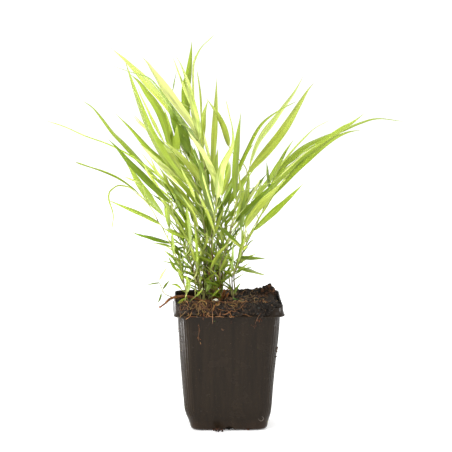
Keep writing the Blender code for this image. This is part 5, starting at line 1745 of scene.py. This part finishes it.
bm.from_mesh(cm)
bmesh.ops.recalc_face_normals(bm, faces=bm.faces)
bm.to_mesh(cm)
bm.free()
cut = bpy.data.objects.new("cutter", cm)
bpy.context.scene.collection.objects.link(cut)
mod = pot.modifiers.new("drains", "BOOLEAN")
mod.operation = "DIFFERENCE"
mod.object = cut
mod.solver = "EXACT"
dg = bpy.context.evaluated_depsgraph_get()
fine = bpy.data.meshes.new_from_object(pot.evaluated_get(dg))
pot.modifiers.clear()
pot.data = fine
bpy.data.objects.remove(cut, do_unlink=True)
fine.shade_smooth()
fine.set_sharp_from_angle(angle=math.radians(38))

# moulded plastic: dark brown, satin, with drawn streaks, dust and peat stains
pm, nt, out = new_mat("pot_plastic_fine")
tc = nd_(nt, "ShaderNodeTexCoord")
obj = tc.outputs["Object"]
sepp = nd_(nt, "ShaderNodeSeparateXYZ")
nt.links.new(obj, sepp.inputs[0])
mp = nd_(nt, "ShaderNodeMapping")
mp.inputs["Scale"].default_value = (1.0, 1.0, 0.014)
nt.links.new(obj, mp.inputs["Vector"])
drawn = noise_(nt, mp.outputs[0], 520.0, 3.0, 0.55)
wide = noise_(nt, mp.outputs[0], 120.0, 2.0, 0.5)
blot = noise_(nt, obj, 70.0, 4.0, 0.6)
dust = noise_(nt, obj, 1500.0, 2.0, 0.7)
fine_n = noise_(nt, obj, 4200.0, 2.0, 0.5)
both = math_(nt, "ADD", math_(nt, "MULTIPLY", wide, 0.5), math_(nt, "MULTIPLY", drawn, 0.5))
c1 = ramp_(nt, both, [(0.36, tuple(0.88 * c for c in POT_A)), (0.64, tuple(1.12 * c for c in POT_B))])
c1 = mixc_(nt, math_(nt, "MULTIPLY", math_(nt, "SUBTRACT", blot, 0.55, clamp=True), 1.8), c1, POT_STAIN)
spk = math_(nt, "MULTIPLY", math_(nt, "SUBTRACT", dust, 0.66, clamp=True), 6.0, clamp=True)
c1 = mixc_(nt, math_(nt, "MULTIPLY", spk, 0.45), c1, s2l(120, 100, 80))
# peat stain round the foot
zmm = math_(nt, "MULTIPLY", sepp.outputs[2], 1000.0)
low = math_(nt, "MULTIPLY", math_(nt, "SUBTRACT", 9.0, zmm), 0.11, clamp=True)
low = math_(nt, "MULTIPLY", low, math_(nt, "MULTIPLY_ADD", blot, 1.6, -0.35), clamp=True)
c1 = mixc_(nt, math_(nt, "MULTIPLY", low, 0.3), c1, s2l(76, 52, 38))
pr = nd_(nt, "ShaderNodeBsdfPrincipled")
nt.links.new(c1, pr.inputs["Base Color"])
rgh = math_(nt, "MULTIPLY_ADD", blot, 0.24, 0.13)
rgh = math_(nt, "MULTIPLY_ADD", spk, 0.2, rgh, clamp=True)
nt.links.new(rgh, pr.inputs["Roughness"])
pr.inputs["Specular IOR Level"].default_value = 0.17
bump = nd_(nt, "ShaderNodeBump")
bump.inputs["Strength"].default_value = 0.5
bump.inputs["Distance"].default_value = 0.00012
hh = math_(nt, "ADD", math_(nt, "MULTIPLY", drawn, 0.6), math_(nt, "MULTIPLY", fine_n, 0.12))
hh = math_(nt, "ADD", hh, math_(nt, "MULTIPLY", spk, 0.25))
nt.links.new(hh, bump.inputs["Height"])
nt.links.new(bump.outputs[0], pr.inputs["Normal"])
nt.links.new(pr.outputs[0], out.inputs[0])
pm.diffuse_color = (0.041, 0.031, 0.025, 1.0)
fine.materials.clear()
fine.materials.append(pm)
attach(pot, "root")
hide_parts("pot")

# plain moulded ring low on the front
rc = on_front(261, 418.6, 0.0)
bm = bmesh.new()
NR, NS = 40, 8
rv = []
for i in range(NR):
    a = 2 * math.pi * i / NR
    for j in range(NS):
        b = 2 * math.pi * j / NS
        rr = 1.95 + 0.34 * math.cos(b)
        rv.append(bm.verts.new(((rc[0] + rr * math.cos(a)) * MM, (-half_width(rc[2] + rr * math.sin(a)) - 0.02 - 0.42 * math.sin(b)) * MM, (rc[2] + rr * math.sin(a)) * MM)))
for i in range(NR):
    for j in range(NS):
        bm.faces.new((rv[i * NS + j], rv[((i + 1) % NR) * NS + j], rv[((i + 1) % NR) * NS + (j + 1) % NS], rv[i * NS + (j + 1) % NS]))
bmesh.ops.recalc_face_normals(bm, faces=bm.faces)
rme = bpy.data.meshes.new("moulded_ring")
bm.to_mesh(rme)
bm.free()
rme.shade_smooth()
rm, rnt, rout = new_mat("pot_ring_fine")
rp = nd_(rnt, "ShaderNodeBsdfPrincipled")
rtc = nd_(rnt, "ShaderNodeTexCoord")
rno = noise_(rnt, rtc.outputs["Object"], 260.0, 3.0, 0.6)
rnt.links.new(ramp_(rnt, rno, [(0.35, s2l(52, 44, 37)), (0.65, s2l(84, 73, 61))]), rp.inputs["Base Color"])
rp.inputs["Roughness"].default_value = 0.4
rnt.links.new(rp.outputs[0], rout.inputs[0])
rme.materials.append(rm)
ro = bpy.data.objects.new("moulded_ring", rme)
bpy.context.scene.collection.objects.link(ro)
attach(ro, "root")

# the CAD root ball stays inside as the body of the peat
body = bpy.data.objects["root_ball"]
for i in range(len(body.material_slots)):
    body.material_slots[i].material = M_PEATBODY
# ---------------------------------------------------- soil stuck on the pot
db = Bag()
rs = random.Random(77)


def smear(u, v, du, dv, n, r0, r1, cols, lift=0.15):
    for _ in range(n):
        uu, vv = u + rs.gauss(0, du), v + rs.gauss(0, dv)
        r = rs.uniform(r0, r1)
        p = on_front(uu, vv, lift)
        put_crumb(db, p, r, np.array(rs.choice(cols)) * rs.uniform(0.7, 1.2), rs)


ORANGE = [s2l(104, 68, 40), s2l(122, 80, 46), s2l(84, 56, 36)]
DARKC = [s2l(60, 42, 30), s2l(44, 33, 26), s2l(80, 52, 36)]
smear(199.0, 329, 0.5, 3.2, 12, 0.18, 0.36, ORANGE)
smear(198.2, 338.5, 0.8, 1.6, 12, 0.2, 0.45, ORANGE)
smear(261, 418.6, 1.5, 1.5, 16, 0.10, 0.22, [s2l(112, 100, 76), s2l(90, 78, 58)], 0.3)
smear(200.6, 343, 0.3, 1.0, 5, 0.2, 0.4, [s2l(150, 110, 70)])
smear(222.5, 329.5, 1.3, 0.5, 14, 0.2, 0.45, [s2l(112, 84, 62), s2l(90, 66, 48)])
smear(231.5, 322, 0.8, 1.6, 12, 0.25, 0.5, DARKC)
smear(259.5, 320.5, 1.8, 1.8, 18, 0.3, 0.6, [s2l(104, 62, 38), s2l(84, 50, 32)])
smear(254.5, 326, 1.2, 1.2, 10, 0.25, 0.5, [s2l(84, 54, 38)])
smear(214.5, 321.5, 0.6, 0.8, 6, 0.2, 0.4, [s2l(80, 96, 46), s2l(90, 110, 50)])
smear(228, 345, 22, 28, 34, 0.10, 0.24, DARKC + [s2l(110, 88, 66)])
smear(228, 415, 18, 6, 26, 0.10, 0.28, DARKC + ORANGE)
# grains on the right-hand side of the pot
for (u, v, r) in ((277.6, 347.5, 0.8), (278.2, 349.5, 0.7), (277.6, 352, 0.6), (277.9, 356.4, 0.7), (278.6, 356.8, 0.45), (276.8, 350.6, 0.5),
                  (278.5, 335.6, 0.3), (278.8, 341.2, 0.3), (274.4, 363.5, 0.4), (273.2, 366.3, 0.35), (276.2, 348.6, 0.5)):
    for _ in range(4):
        p = at(u + rs.uniform(-.3, .3), v + rs.uniform(-.5, .5), -32.0)
        hw = half_width(p[2])
        b = math.radians(rs.uniform(62, 84))
        p[0] = hw - 9.0 + (9.0 + 0.5 * r) * math.sin(b) + sag(p[2])
        p[1] = -(hw - 9.0) - (9.0 + 0.5 * r) * math.cos(b)
        put_crumb(db, p, r * rs.uniform(0.6, 1.1), np.array(rs.choice(DARKC + [s2l(120, 110, 96)])), rs)
# grains all round the other walls
for k in range(160):
    a = rs.choice((0, 1, 2))
    z = rs.uniform(4, 93) if rs.random() < 0.6 else rs.uniform(2, 12)
    hw = half_width(z)
    t = rs.uniform(-hw + 9, hw - 9)
    p = ((hw + 0.1 + sag(z), t, z), (t, hw + 0.1, z), (-hw - 0.1 + sag(z), t, z))[a]
    put_crumb(db, p, rs.uniform(0.12, 0.45), np.array(rs.choice(DARKC + ORANGE[:1])) * rs.uniform(0.7, 1.2), rs)
# a clod that hangs at the foot of the front, beside the notch
for k in range(46):
    x, z = -9.6 + rs.gauss(0, 2.0), abs(rs.gauss(0.9, 0.8)) + 0.35
    put_crumb(db, (x, -31.0 - rs.uniform(0, 8.5), z * 0.9), rs.uniform(0.35, 0.85), np.array(rs.choice([s2l(40, 30, 24), s2l(32, 26, 22), s2l(54, 38, 29), s2l(74, 48, 34)])), rs)
for k in range(26):
    put_crumb(db, (rs.uniform(-2.7, 2.7), rs.uniform(-29.5, -25.5), rs.uniform(0.3, 1.6)), rs.uniform(0.4, 0.9), np.array(rs.choice([s2l(26, 20, 16), s2l(34, 26, 20)])), rs)
# peat that has fallen out of the drain openings, lying at the pot's foot
for k in range(90):
    if k < 34:
        x, y = -9.5 + rs.gauss(0, 2.2), -30.6 + rs.gauss(0, 0.8)
    elif k < 48:
        x, y = 15.5 + rs.gauss(0, 1.0), -30.4 + rs.gauss(0, 0.5)
    else:
        a = rs.uniform(0, 6.28)
        x, y = rs.uniform(-24, 24), -30.0 + rs.gauss(0, 0.6)
        if rs.random() < 0.5:
            x, y = (rs.choice((-1, 1)) * (30 + rs.gauss(0, 0.6)), rs.uniform(-24, 24))
    r = rs.uniform(0.3, 0.75) if k < 48 else rs.uniform(0.15, 0.4)
    put_crumb(db, (x, y, r * 0.75), r, np.array(rs.choice([s2l(58, 36, 26), s2l(36, 26, 20), s2l(88, 48, 30)])), rs)
do = db.build("pot_dirt", M_CRUMB, smooth=False)
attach(do, "root")

# little weed seedlings on the peat
wb = Bag()
rs = random.Random(90)
for (u, v, y) in ((236, 301.5, -8), (238.5, 303, -12), (234.6, 303.6, -14)):
    c = at(u, v, y)
    c[2] = peat_z(c[0], c[1]) + 0.4
    for j in range(6):
        a = rs.uniform(0, 6.28)
        L = rs.uniform(1.6, 3.0)
        d = np.array([math.cos(a), math.sin(a), rs.uniform(0.3, 0.8)])
        put_strip(wb, [c, c + d * L * 0.5, c + d * L + np.array([0, 0, -0.4])], 1.3, s2l(70, 120, 44), n=8, seed=j)
wo = wb.build("seedlings", M_HUSK)
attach(wo, "root")
